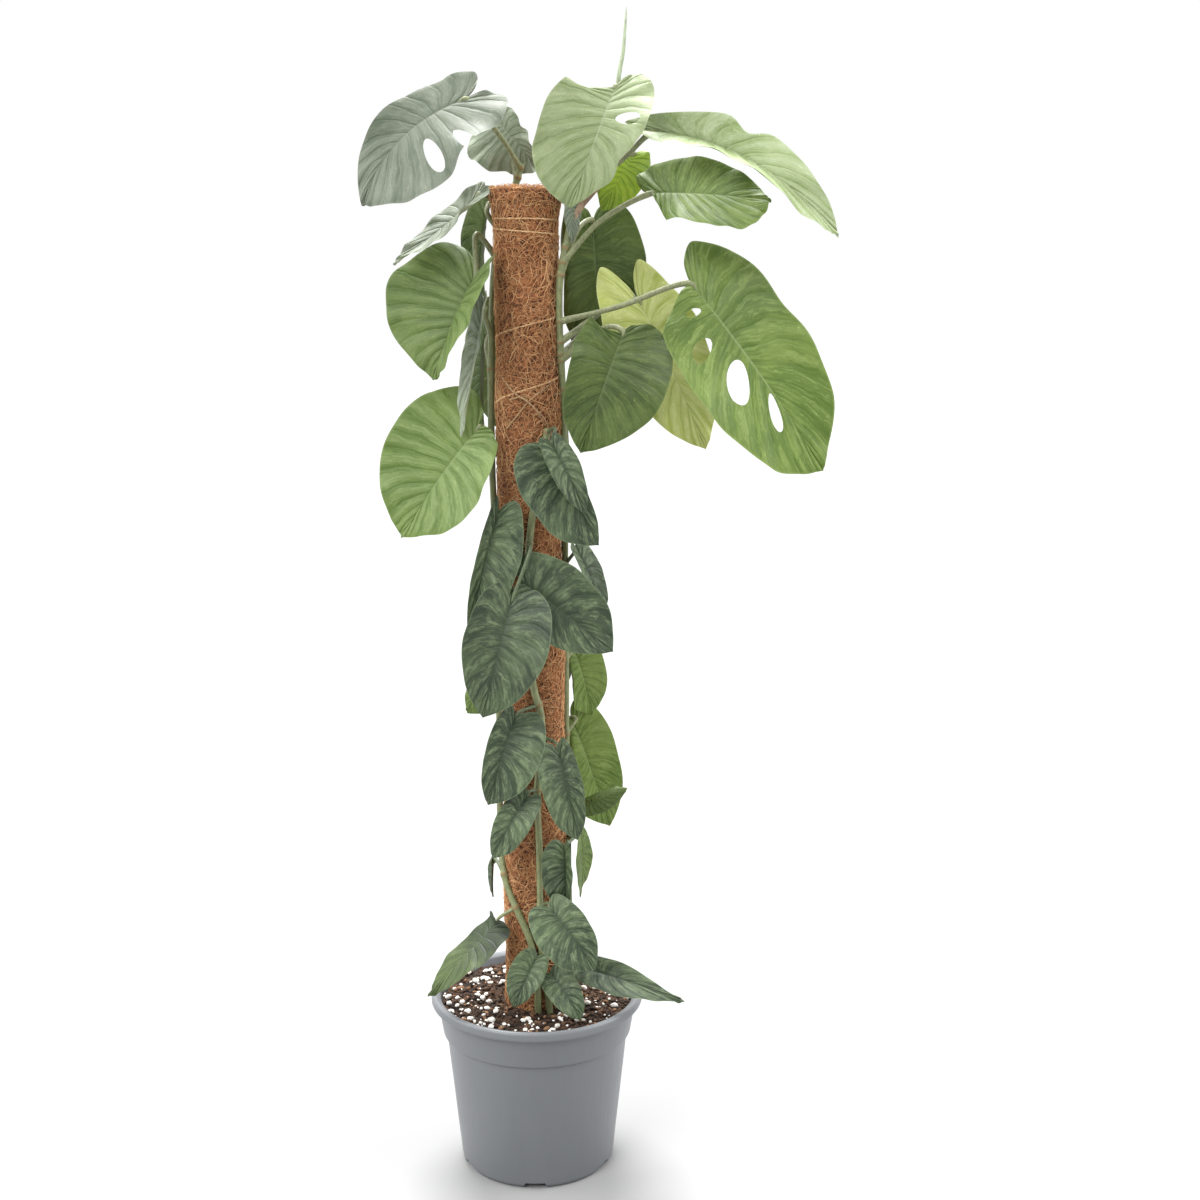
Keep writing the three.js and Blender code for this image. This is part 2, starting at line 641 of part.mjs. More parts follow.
    base: [14, -50, 253], tip: [53, -62, 201], face: [0.15, -0.95, 0.3], width: [29, 20],
    arch: 0.08, fold: [-6, -6], curl: [-16, -16], clear: 47,
  },
  {
    name: "shingle_18", look: "green", stem: "left", at: 244, via: [-30, -24, 230],
    base: [-36, -20, 220], tip: [-92, -62, 177], face: [-0.3, -0.5, 0.8], width: [20, 22],
    arch: 0.02, fold: [10, 14], curl: [-20, -20], clear: 37.5,
  },
  {
    name: "shingle_19", look: "shingle", stem: "left", at: 192, via: [2, -44, 206],
    base: [2, -48, 207], tip: [-18, -62, 167], face: [-0.1, -0.93, 0.35], width: [17, 14],
    arch: 0.08, fold: [-8, -8], curl: [-12, -12], clear: 42,
  },
  {
    name: "shingle_20", look: "shingle", stem: "front", at: 176, via: [14, -42, 190],
    base: [14, -46, 191], tip: [41, -66, 157], face: [0.2, -0.9, 0.45], width: [15, 15],
    arch: 0.1, fold: [-8, -8], curl: [-12, -12], clear: 42,
  },
  {
    name: "shingle_21", look: "shingle", stem: "right", at: 182, via: [34, -24, 192],
    base: [36, -30, 191], tip: [131, -48, 166], face: [0.15, -0.7, 0.7], width: [18, 14],
    arch: 0.04, fold: [-8, -8], curl: [-14, -14], skew: [0.1, 0], clear: 37.5,
  },
  {
    name: "back_leaf_1", look: "green", stem: "back", at: 752, via: [-8, 46, 764],
    base: [-12, 54, 760], tip: [-26, 72, 650], face: [-0.2, 0.95, 0.25], width: [34, 44],
    arch: 0.07, fold: [-5, -5], curl: [-16, -16], wave: 1.5, clear: 52,
  },
  {
    name: "back_leaf_2", look: "green", stem: "back", at: 672, via: [-2, 42, 684],
    base: [-3, 46, 680], tip: [2, 60, 584], face: [0.05, 0.97, 0.2], width: [32, 32],
    arch: 0.07, fold: [-8, -8], curl: [-16, -16], wave: 1.5, clear: 40,
  },
  {
    name: "back_leaf_3", look: "shingle", stem: "back", at: 568, via: [-4, 42, 578],
    base: [-6, 44, 574], tip: [-18, 50, 490], face: [-0.1, 0.98, 0.15], width: [30, 30],
    arch: 0.06, fold: [-8, -8], curl: [-16, -16], clear: 40,
  },
  {
    name: "back_leaf_4", look: "shingle", stem: "back", at: 484, via: [2, 42, 492],
    base: [3, 44, 488], tip: [12, 50, 408], face: [0.1, 0.98, 0.15], width: [28, 28],
    arch: 0.06, fold: [-8, -8], curl: [-16, -16], clear: 40,
  },
  {
    name: "back_leaf_5", look: "shingle", stem: "back", at: 400, via: [-3, 42, 408],
    base: [-5, 44, 404], tip: [-14, 48, 330], face: [-0.1, 0.98, 0.15], width: [26, 26],
    arch: 0.06, fold: [-8, -8], curl: [-16, -16], clear: 40,
  },
  {
    name: "back_leaf_6", look: "shingle", stem: "back", at: 322, via: [2, 42, 330],
    base: [4, 44, 326], tip: [13, 48, 262], face: [0.1, 0.98, 0.15], width: [24, 24],
    arch: 0.06, fold: [-8, -8], curl: [-16, -16], clear: 40,
  },
  {
    name: "back_leaf_7", look: "shingle", stem: "back", at: 240, via: [-2, 42, 252],
    base: [-4, 46, 250], tip: [-16, 60, 196], face: [-0.15, 0.95, 0.3], width: [22, 22],
    arch: 0.08, fold: [-8, -8], curl: [-16, -16], clear: 40,
  },
];

// Where a flat point of a blade lies: x across from the midrib and y along it from the stalk.
function bladePoint(leaf, x, y) {
  const { chord, length, face } = leaf;
  const s = y / length;
  const arch = leaf.arch * length;
  const side = new THREE.Vector3().crossVectors(face, chord).normalize();
  const middle = leaf.start
    .clone()
    .addScaledVector(chord, s)
    .addScaledVector(face, arch * 4 * s * (1 - s));
  const along = chord
    .clone()
    .addScaledVector(face, arch * 4 * (1 - 2 * s))
    .normalize();
  const across = side.clone().addScaledVector(along, -side.dot(along)).normalize();
  const up = new THREE.Vector3().crossVectors(along, across).negate();
  const k = x < 0 ? 0 : 1;
  const reach = Math.abs(x);
  const half = leaf.width[k];
  const fold = leaf.fold[k] * DEGREE;
  const bend = (leaf.curl[k] * DEGREE) / half + 1e-7;
  const out = (Math.sin(fold + bend * reach) - Math.sin(fold)) / bend;
  const rise = (Math.cos(fold) - Math.cos(fold + bend * reach)) / bend;
  const ripple = (leaf.wave ?? 0) * (reach / half) ** 2 * Math.sin(s * 11 + k * 1.7);
  middle.addScaledVector(across, Math.sign(x) * out).addScaledVector(up, rise + ripple);
  return keepClear(leaf, middle);
}

// Moves a point out from the pole's axis until it is clear of the pole and its stems.
function keepClear(leaf, point) {
  if (!leaf.clear) return point;
  const axis = poleX(point.z);
  const dx = point.x - axis;
  const r = Math.hypot(dx, point.y);
  const over = r - leaf.clear;
  const wanted = over > 4 * CLEAR_BLEND ? r : leaf.clear + (over + Math.hypot(over, CLEAR_BLEND)) / 2;
  point.x = axis + (dx * wanted) / r;
  point.y = (point.y * wanted) / r;
  return point;
}

// Where a point of the net lies on the flat blade: t runs from the notch to the tip and u from the
// midrib to the edge.
function flatPoint(leaf, side, t, u) {
  const k = side < 0 ? 0 : 1;
  const edge = HEART_CURVE.getPoint(t);
  const lobe = (leaf.lobe ?? [1, 1])[k];
  const skew = (leaf.skew ?? [0, 0])[k];
  const rib = leaf.length * t ** 1.6;
  const edgeY = leaf.length * ((edge.y < 0 ? edge.y * lobe : edge.y) + skew * edge.x);
  return [side * edge.x * leaf.width[k] * u, rib + (edgeY - rib) * u];
}

// How far out of a hole a point of the net is: under 1 is inside.
function outOfHole([, start, end, inner, outer], t, u) {
  return Math.hypot((2 * t - start - end) / (end - start), (2 * u - inner - outer) / (outer - inner));
}

// Moves a corner of the net onto the rim of a hole.
function ontoRim(hole, corner) {
  const [, start, end, inner, outer] = hole;
  const t = (start + end) / 2;
  const u = (inner + outer) / 2;
  if (corner.u === 1) {
    const height = Math.sqrt(Math.max(0, 1 - ((1 - u) / (outer - u)) ** 2));
    corner.t = t + Math.sign(corner.t - t) * (end - t) * height;
    return;
  }
  const out = outOfHole(hole, corner.t, corner.u);
  corner.t = t + (corner.t - t) / out;
  corner.u = u + (corner.u - u) / out;
}

// The flat net of a blade: its points, and triangles that leave the holes open.
function bladeNet(leaf, rows, columns) {
  const corners = [];
  const number = new Map();
  const cornerAt = (row, column) => {
    const single = row === 0 || row === rows;
    const key = single ? row : row + ":" + column;
    if (!number.has(key)) {
      number.set(key, corners.length);
      const u = single ? 0 : Math.abs(column) / columns;
      corners.push({ side: Math.sign(column), t: row / rows, u });
    }
    return number.get(key);
  };
  const triangles = [];
  const rims = new Map();
  for (let row = 0; row < rows; row++) {
    for (let column = -columns; column < columns; column++) {
      const square = [
        cornerAt(row, column),
        cornerAt(row + 1, column),
        cornerAt(row + 1, column + 1),
        cornerAt(row, column + 1),
      ].filter((c, i, all) => all.indexOf(c) === i);
      const side = Math.sign(column + 0.5);
      const t = (row + 0.5) / rows;
      const u = Math.abs(column + 0.5) / columns;
      const hole = (leaf.holes ?? []).find((h) => h[0] === side && outOfHole(h, t, u) < 1);
      if (hole) for (const c of square) rims.set(c, hole);
      else {
        triangles.push(square.slice(0, 3));
        if (square.length === 4) triangles.push([square[0], square[2], square[3]]);
      }
    }
  }
  for (const [c, hole] of rims) ontoRim(hole, corners[c]);
  const used = [...new Set(triangles.flat())];
  const order = new Map(used.map((c, i) => [c, i]));
  return {
    points: used.map((c) => flatPoint(leaf, corners[c].side, corners[c].t, corners[c].u)),
    triangles: triangles.map((triangle) => triangle.map((c) => order.get(c))),
  };
}

// A blade of even thickness over the net: two skins with the same triangles, and walls at the edges.
function bladeSolid(leaf) {
  const { rows, columns } = leaf.holes ? CUT_NET : leaf.length > LONG_BLADE ? LONG_NET : NET;
  const { points, triangles } = bladeNet(leaf, rows, columns);
  const middle = points.map(([x, y]) => bladePoint(leaf, x, y));
  const normals = points.map(() => new THREE.Vector3());
  const borders = new Map();
  for (const [a, b, c] of triangles) {
    const n = new THREE.Vector3()
      .subVectors(middle[b], middle[a])
      .cross(new THREE.Vector3().subVectors(middle[c], middle[a]))
      .normalize();
    for (const i of [a, b, c]) normals[i].add(n);
    for (const [i, j] of [[a, b], [b, c], [c, a]]) {
      if (borders.has(j + ":" + i)) borders.delete(j + ":" + i);
      else borders.set(i + ":" + j, [i, j]);
    }
  }
  const count = points.length;
  const positions = new Float32Array(count * 6);
  for (let i = 0; i < count; i++) {
    normals[i].normalize().multiplyScalar(BLADE / 2);
    new THREE.Vector3().addVectors(middle[i], normals[i]).toArray(positions, i * 3);
    new THREE.Vector3().subVectors(middle[i], normals[i]).toArray(positions, (count + i) * 3);
  }
  const index = [];
  for (const [a, b, c] of triangles) {
    index.push(a, b, c, count + a, count + c, count + b);
  }
  for (const [i, j] of borders.values()) {
    index.push(j, i, count + i, j, count + i, count + j);
  }
  const geometry = new THREE.BufferGeometry();
  geometry.setAttribute("position", new THREE.BufferAttribute(positions, 3));
  geometry.setIndex(index);
  return solidOf(geometry);
}

function makeLeaf(leaf) {
  leaf.start = new THREE.Vector3(...leaf.base);
  leaf.chord = new THREE.Vector3(...leaf.tip).sub(leaf.start);
  leaf.length = leaf.chord.length();
  const direction = leaf.chord.clone().normalize();
  leaf.face = new THREE.Vector3(...leaf.face);
  leaf.face.addScaledVector(direction, -leaf.face.dot(direction)).normalize();
  const kind = leaf.name.split("_")[0];
  const stalk = bar(
    [
      vineAt(leaf.stem, leaf.at),
      new THREE.Vector3(...leaf.via),
      bladePoint(leaf, 0, 0),
      bladePoint(leaf, 0, STALK_GRIP),
    ],
    STALK_RADIUS[kind],
    STALK_SIDES,
    kind === "leaf" ? 5 : 3,
  );
  let solid = bladeSolid(leaf).add(solidOf(stalk));
  for (const clearance of Object.values(vineClearances)) solid = solid.subtract(clearance);
  addMesh(leaf.name, geometryOf(largestBody(solid)), LOOKS[leaf.look]);
}

// The rolled new leaf that stands above the plant, inside the stalk of the leaf below it.
function makeNewLeaf() {
  const [x, y, z] = SPEAR_FOOT;
  const spear = new THREE.ConeGeometry(SPEAR_RADIUS, SPEAR_LENGTH, 7, 3)
    .rotateX(Math.PI / 2)
    .translate(x, y, z + SPEAR_LENGTH / 2);
  addMesh("new_leaf", spear, LOOKS.pale);
}

makePot();
makePole();
makeTwine("twine_top", TWINE_TOP);
makeTwine("twine_lower", TWINE_LOWER);
makeVines();
makeSoil();
for (const leaf of LEAVES) makeLeaf(leaf);
makeNewLeaf();

export default group;
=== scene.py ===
"""A potted monstera dubia on a coir pole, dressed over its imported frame.

Shapes are worked out in millimetres, in the frame's own axes, and leave in metres.
"""

import math
import random

import bmesh
import bpy
import numpy as np
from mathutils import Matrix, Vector, noise


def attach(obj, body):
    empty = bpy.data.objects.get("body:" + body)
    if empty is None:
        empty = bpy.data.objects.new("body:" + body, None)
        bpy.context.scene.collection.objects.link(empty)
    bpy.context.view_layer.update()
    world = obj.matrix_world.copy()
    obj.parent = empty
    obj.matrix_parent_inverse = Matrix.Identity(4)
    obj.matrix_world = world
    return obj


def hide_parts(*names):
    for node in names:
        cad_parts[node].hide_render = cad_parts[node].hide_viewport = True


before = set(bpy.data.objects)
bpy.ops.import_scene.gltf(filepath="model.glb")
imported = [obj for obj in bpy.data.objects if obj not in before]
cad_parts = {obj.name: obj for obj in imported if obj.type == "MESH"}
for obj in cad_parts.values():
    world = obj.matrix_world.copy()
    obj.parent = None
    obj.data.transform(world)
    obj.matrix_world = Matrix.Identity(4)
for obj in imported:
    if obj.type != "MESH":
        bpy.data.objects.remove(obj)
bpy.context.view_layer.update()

MM = 0.001
FULL_TURN = 2 * math.pi

# Pot
POT_HEIGHT = 158
RIM_RADIUS = 95
LIP_HEIGHT = 8.5
COLLAR_BOTTOM = 121
COLLAR_TOP_RADIUS = 89
COLLAR_BOTTOM_RADIUS = 84.5
COLLAR_STEP = 3
BASE_RADIUS = 68.5
POT_WALL = 2.2
POT_ROUNDING = 1.1
FLOOR_UNDERSIDE = 4
FLOOR_TOP = 6.5
CENTRE_PAD_RADIUS = 14
DRAIN_HOLES = 6
DRAIN_HOLE_RADIUS = 5
DRAIN_HOLE_CIRCLE = 42
NOTCHES = 6
NOTCH_WIDTH = 22.5
NOTCH_HEIGHT = 5.6
NOTCH_TAPER = 2.5
POT_SIDES = 180

# Potting mix
SOIL_TOP = 149
SOIL_BORE = 26
CRUMBS = 1500
PERLITE_GRAINS = 240
BARK_CHIPS = 170

# Pole
POLE_TOP = 860
POLE_LEAN = -5
COIR_RADIUS = 27.3
COIR_BOTTOM = 36
COIR_STRANDS = 5800
LONG_STRANDS = 0.16
TOP_STRANDS = 1500
STAKE_RADIUS = 12.5
STAKE_BOTTOM = 6.8
STAKE_TOP = 852
TWINE_PLY_RADIUS = 0.42
TWINE_PLY_OFFSET = 0.36

# Climbing stems
VINE_RADIUS = 3.15
VINE_ROUTE = COIR_RADIUS + 2.5
VINE_SIDES = 12

# Leaves
BLADE = 0.8
RIBS = {"broad": 15, "small": 11}
RIB_SWEEP = 0.6
CLEAR_BLEND = 4
STALK_RADIUS = {"leaf": 2.3, "back": 1.8, "shingle": 1.5}
STALK_SIDES = 10
SHEATH_BOTTOM, SHEATH_TOP = 826, 866
SMALL_LEAF = 93
FINE_NET, COARSE_NET = (84, 18), (54, 13)


# Shapes


def smooth_step(value, low, high):
    part = np.clip((value - low) / (high - low), 0, 1)
    return part * part * (3 - 2 * part)


def hill(value, middle, spread):
    """A smooth hill that is 1 high at its middle."""
    return np.exp(-(((value - middle) / spread) ** 2))


def unit(vectors):
    return vectors / np.maximum(np.linalg.norm(vectors, axis=-1, keepdims=True), 1e-12)


def pole_x(z):
    """Centre of the leaning pole at a height."""
    return POLE_LEAN * np.maximum(0, z - SOIL_TOP) / (POLE_TOP - SOIL_TOP)


def round_pole(z, azimuth, radius):
    """Points round the pole: azimuth 0 is the front and 90 the right."""
    z, a, radius = np.broadcast_arrays(z, np.radians(azimuth), radius)
    return np.stack([pole_x(z) + radius * np.sin(a), -radius * np.cos(a), z * 1.0], axis=-1)


def coir_radius(height):
    z = np.maximum(height, SOIL_TOP)
    bulge = 0.7 * np.sin(z * 0.031) + 0.4 * np.sin(z * 0.083 + 1)
    flare = 2.2 * smooth_step(z, POLE_TOP - 22, POLE_TOP - 4)
    tie = -1.1 * hill(z, POLE_TOP - 28, 9)
    foot = 1.6 * (1 - smooth_step(z, SOIL_TOP, SOIL_TOP + 60))
    return COIR_RADIUS - 0.7 + bulge + flare + tie + foot


def smooth_route(points, per_span):
    """A centripetal Catmull-Rom curve through the points."""
    points = np.asarray(points, float)
    ends = np.vstack([2 * points[0] - points[1], points, 2 * points[-1] - points[-2]])
    w = np.linspace(0, 1, per_span, endpoint=False)[:, None]
    spans = []
    for before, start, end, after in zip(ends, ends[1:], ends[2:], ends[3:]):
        a, b, c = (max(np.linalg.norm(step), 1e-4) ** 0.5
                   for step in (start - before, end - start, after - end))
        leave = ((start - before) / a - (end - before) / (a + b) + (end - start) / b) * b
        arrive = ((end - start) / b - (after - start) / (b + c) + (after - end) / c) * b
        spans.append(start + leave * w + (3 * (end - start) - 2 * leave - arrive) * w**2
                     + (2 * (start - end) + leave + arrive) * w**3)
    return np.vstack([*spans, points[-1:]])


def wander(points, scale, seed):
    """Soft noise from -1 to 1 at each point."""
    shift = Vector((seed * 7.31, seed * 3.17, seed * 5.77))
    return np.array([noise.noise(Vector(p) * scale + shift) for p in points.tolist()])


def turned(points, turn, tilt=0):
    """The points tilted about x and then turned about z."""
    c, s, ct, st = math.cos(turn), math.sin(turn), math.cos(tilt), math.sin(tilt)
    tilted = np.array([[1, 0, 0], [0, ct, -st], [0, st, ct]])
    return points @ (np.array([[c, -s, 0], [s, c, 0], [0, 0, 1]]) @ tilted).T


def save_mesh(name, points, faces, *finishes, kinds=None, smooth=True, nets=None, crease=None,
              **values):
    """A mesh object at the origin, from points in millimetres."""
    mesh = bpy.data.meshes.new(name)
    mesh.from_pydata((np.asarray(points) * MM).tolist(), [], faces)
    for finish in finishes:
        mesh.materials.append(finish)
    if kinds is not None:
        mesh.polygons.foreach_set("material_index", kinds)
    mesh.polygons.foreach_set("use_smooth", [smooth] * len(mesh.polygons))
    corner = np.empty(len(mesh.loops), np.int32)
    mesh.loops.foreach_get("vertex_index", corner)
    for title, at in (nets or {}).items():
        layer = mesh.uv_layers.new(name=title)
        layer.data.foreach_set("uv", np.asarray(at, np.float32)[corner].ravel())
    for title, numbers in values.items():
        layer = mesh.attributes.new(title, "FLOAT", "POINT")
        layer.data.foreach_set("value", np.float32(numbers + np.zeros(len(points))))
    mesh.update()
    if crease:
        mesh.set_sharp_from_angle(angle=math.radians(crease))
    piece = bpy.data.objects.new(name, mesh)
    bpy.context.scene.collection.objects.link(piece)
    return piece


def stand_for(piece, slot, *nodes):
    """Gives a piece its body, and hides the CAD nodes that it takes the place of. The slot is not
    used.
    """
    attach(piece, "root")
    if nodes:
        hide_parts(*nodes)


def bands(grid):
    """Faces between the rows of a grid of corners, each row closed on itself."""
    on = np.roll(grid, -1, -1)
    faces = [grid[..., :-1, :], on[..., :-1, :], on[..., 1:, :], grid[..., 1:, :]]
    return np.stack(faces, -1).reshape(-1, 4).tolist()


def closed(rings, start, end):
    """Rings of points that become one shape with a point at each end: its points and faces."""
    points = np.vstack([np.reshape(rings, (-1, 3)), [start], [end]])
    count = len(points) - 2
    grid = np.arange(count).reshape(len(rings), -1)
    first, last = grid[0].tolist(), grid[-1].tolist()
    faces = bands(grid)
    faces += [[count, b, a] for a, b in zip(first, first[1:] + first[:1])]
    faces += [[count + 1, a, b] for a, b in zip(last, last[1:] + last[:1])]
    return points, faces


def tube(points, radii, sides):
    """A round bar along the points."""
    points = np.asarray(points, float)
    ahead = unit(np.gradient(points, axis=0))
    normal = np.empty_like(points)
    start = np.cross(ahead[0], (0, 0, 1))
    normal[0] = unit(start if np.linalg.norm(start) > 1e-3 else np.cross(ahead[0], (0, 1, 0)))
    for i in range(1, len(points)):
        normal[i] = unit(normal[i - 1] - ahead[i] * (normal[i - 1] @ ahead[i]))
    turn = np.linspace(0, FULL_TURN, sides, endpoint=False)[:, None]
    out = np.cos(turn) * normal[:, None] + np.sin(turn) * np.cross(ahead, normal)[:, None]
    rings = points[:, None] + np.broadcast_to(radii, len(points))[:, None, None] * out
    return closed(rings, points[0], points[-1])


def lathe(profile, sides):
    """A turned shape from radius and height pairs that start and end on the axis."""
    turn = np.linspace(0, FULL_TURN, sides, endpoint=False)
    rings = [[[r * math.cos(a), r * math.sin(a), z] for a in turn] for r, z in profile[1:-1]]
    return closed(rings, (0, 0, profile[0][1]), (0, 0, profile[-1][1]))


def rounded(profile, radius):
    """The profile with its inner corners rounded off."""
    out = [profile[0]]
    for before, corner, after in zip(profile, profile[1:], profile[2:]):
        corner = np.array(corner, float)
        back, on = np.array(before) - corner, np.array(after) - corner
        reach = min(radius, 0.45 * np.linalg.norm(back), 0.45 * np.linalg.norm(on))
        start, end = corner + unit(back) * reach, corner + unit(on) * reach
        for w in np.linspace(0, 1, 5):
            out.append((1 - w) ** 2 * start + 2 * w * (1 - w) * corner + w**2 * end)
    return out + [profile[-1]]


class Gathered:
    """Points and faces of many small shapes that become one piece."""

    def __init__(self):
        self.points, self.faces, self.values, self.count = [], [], {}, 0

    def add(self, points, faces, **values):
        self.points.append(points)
        self.faces += [[corner + self.count for corner in face] for face in faces]
        for title, number in values.items():
            self.values.setdefault(title, []).append(np.full(len(points), number))
        self.count += len(points)

    def save(self, name, finish):
        values = {title: np.concatenate(parts) for title, parts in self.values.items()}
        return save_mesh(name, np.vstack(self.points), self.faces, finish, **values)


# Shader maths


def paint(colour):
    """A linear colour from its 0 to 255 display values."""
    parts = (c / 255 for c in colour)
    return (*(c / 12.92 if c <= 0.04045 else ((c + 0.055) / 1.055) ** 2.4 for c in parts), 1)


def times(colour, amount):
    return tuple(min(255, amount * c) for c in colour)


class Amount:
    """A number that varies over a surface. Arithmetic on it adds Math nodes."""

    def __init__(self, finish, socket):
        self.finish, self.socket = finish, socket

    def __add__(self, other):
        return self.finish.math("ADD", self, other)

    def __sub__(self, other):
        return self.finish.math("SUBTRACT", self, other)

    def __rsub__(self, other):
        return self.finish.math("SUBTRACT", other, self)

    def __mul__(self, other):
        return self.finish.math("MULTIPLY", self, other)

    def __pow__(self, other):
        return self.finish.math("POWER", self, other)

    def __abs__(self):
        return self.finish.math("ABSOLUTE", self)

    __radd__, __rmul__ = __add__, __mul__


class Finish:
    """A procedural material that is being put together. A tuple is a colour in display values."""

    def __init__(self, name, **constants):
        self.material = bpy.data.materials.new(name)
        self.material.use_nodes = True
        self.tree = self.material.node_tree
        self.shader = self.tree.nodes["Principled BSDF"]
        for title, value in constants.items():
            self.shader.inputs[title.replace("_", " ")].default_value = value

    def feed(self, socket, value):
        if isinstance(value, Amount):
            value = value.socket
        if isinstance(value, bpy.types.NodeSocket):
            self.tree.links.new(value, socket)
        else:
            socket.default_value = paint(value) if isinstance(value, tuple) else value

    def node(self, kind, settings=None, inputs=None, output=0):
        """The output of a new node, by its type, its settings and what its sockets are fed."""
        node = self.tree.nodes.new(kind)
        for title, value in (settings or {}).items():
            setattr(node, title, value)
        for title, value in (inputs or {}).items():
            self.feed(node.inputs[title], value)
        return node.outputs[output]

    def amount(self, *node, **output):
        return Amount(self, self.node(*node, **output))

    def math(self, operation, first, second=0.0):
        return self.amount("ShaderNodeMath", {"operation": operation}, {0: first, 1: second})

    def step(self, value, low, high, start=0.0, end=1.0):
        """Goes smoothly from start to end as value goes from low to high."""
        inputs = {"Value": value, "From Min": low, "From Max": high, "To Min": start, "To Max": end}
        return self.amount("ShaderNodeMapRange", {"interpolation_type": "SMOOTHSTEP"}, inputs)

    def number(self, title):
        return self.amount("ShaderNodeAttribute", {"attribute_name": title}, output="Fac")

    def place(self, wide=1, tall=1):
        """Where a point is on the object in metres, with its width and height stretched."""
        place = self.node("ShaderNodeTexCoord", output="Object")
        if wide == tall:
            return place
        inputs = {0: place, 1: [wide, wide, tall]}
        return self.node("ShaderNodeVectorMath", {"operation": "MULTIPLY"}, inputs)

    def parts(self, vector):
        split = self.node("ShaderNodeSeparateXYZ", None, {0: vector}).node
        return [Amount(self, socket) for socket in split.outputs]

    def net(self, title):
        """The two numbers of a surface net."""
        return self.parts(self.node("ShaderNodeUVMap", {"uv_map": title}))[:2]

    def vector(self, x, y, z):
        return self.node("ShaderNodeCombineXYZ", None, {0: x, 1: y, 2: z})

    def noise(self, vector, scale, detail=3.0, roughness=0.5):
        inputs = {"Vector": vector, "Scale": scale, "Detail": detail, "Roughness": roughness}
        return self.amount("ShaderNodeTexNoise", None, inputs)

    def mix(self, amount, first, second, blend="MIX"):
        """From the first colour to the second one by an amount."""
        settings = {"data_type": "RGBA", "blend_type": blend}
        return self.node("ShaderNodeMix", settings, {0: amount, 6: first, 7: second}, 2)

    def bump(self, height, depth, under=None):
        """A normal from a height that is multiplied by a depth in metres."""
        inputs = {"Height": height, "Distance": depth}
        if under:
            inputs["Normal"] = under
        return self.node("ShaderNodeBump", None, inputs)

    def done(self, colour, roughness, normal=None):
        self.feed(self.shader.inputs["Base Color"], colour)
        self.feed(self.shader.inputs["Roughness"], roughness)
        if normal:
            self.feed(self.shader.inputs["Normal"], normal)
        return self.material


# Leaf shapes

HEART = np.array([
    [0, 0], [0.13, -0.085], [0.46, -0.13], [0.82, 0], [1, 0.26],
    [0.94, 0.5], [0.7, 0.74], [0.3, 0.91], [0.08, 0.975], [0, 1],
])


def heart_edge(t):
    """The blade's edge from the notch to the tip, across in half widths and along in lengths."""
    last = len(HEART) - 1
    at = last * np.asarray(t, float)
    k = np.minimum(at.astype(int), last - 1)
    w = (at - k)[..., None]
    p0, p1, p2, p3 = (HEART[np.clip(k + step, 0, last)] for step in (-1, 0, 1, 2))
    leave, arrive = (p2 - p0) / 2, (p3 - p1) / 2
    return ((2 * p1 - 2 * p2 + leave + arrive) * w**3
            + (3 * p2 - 3 * p1 - 2 * leave - arrive) * w**2 + leave * w + p1)


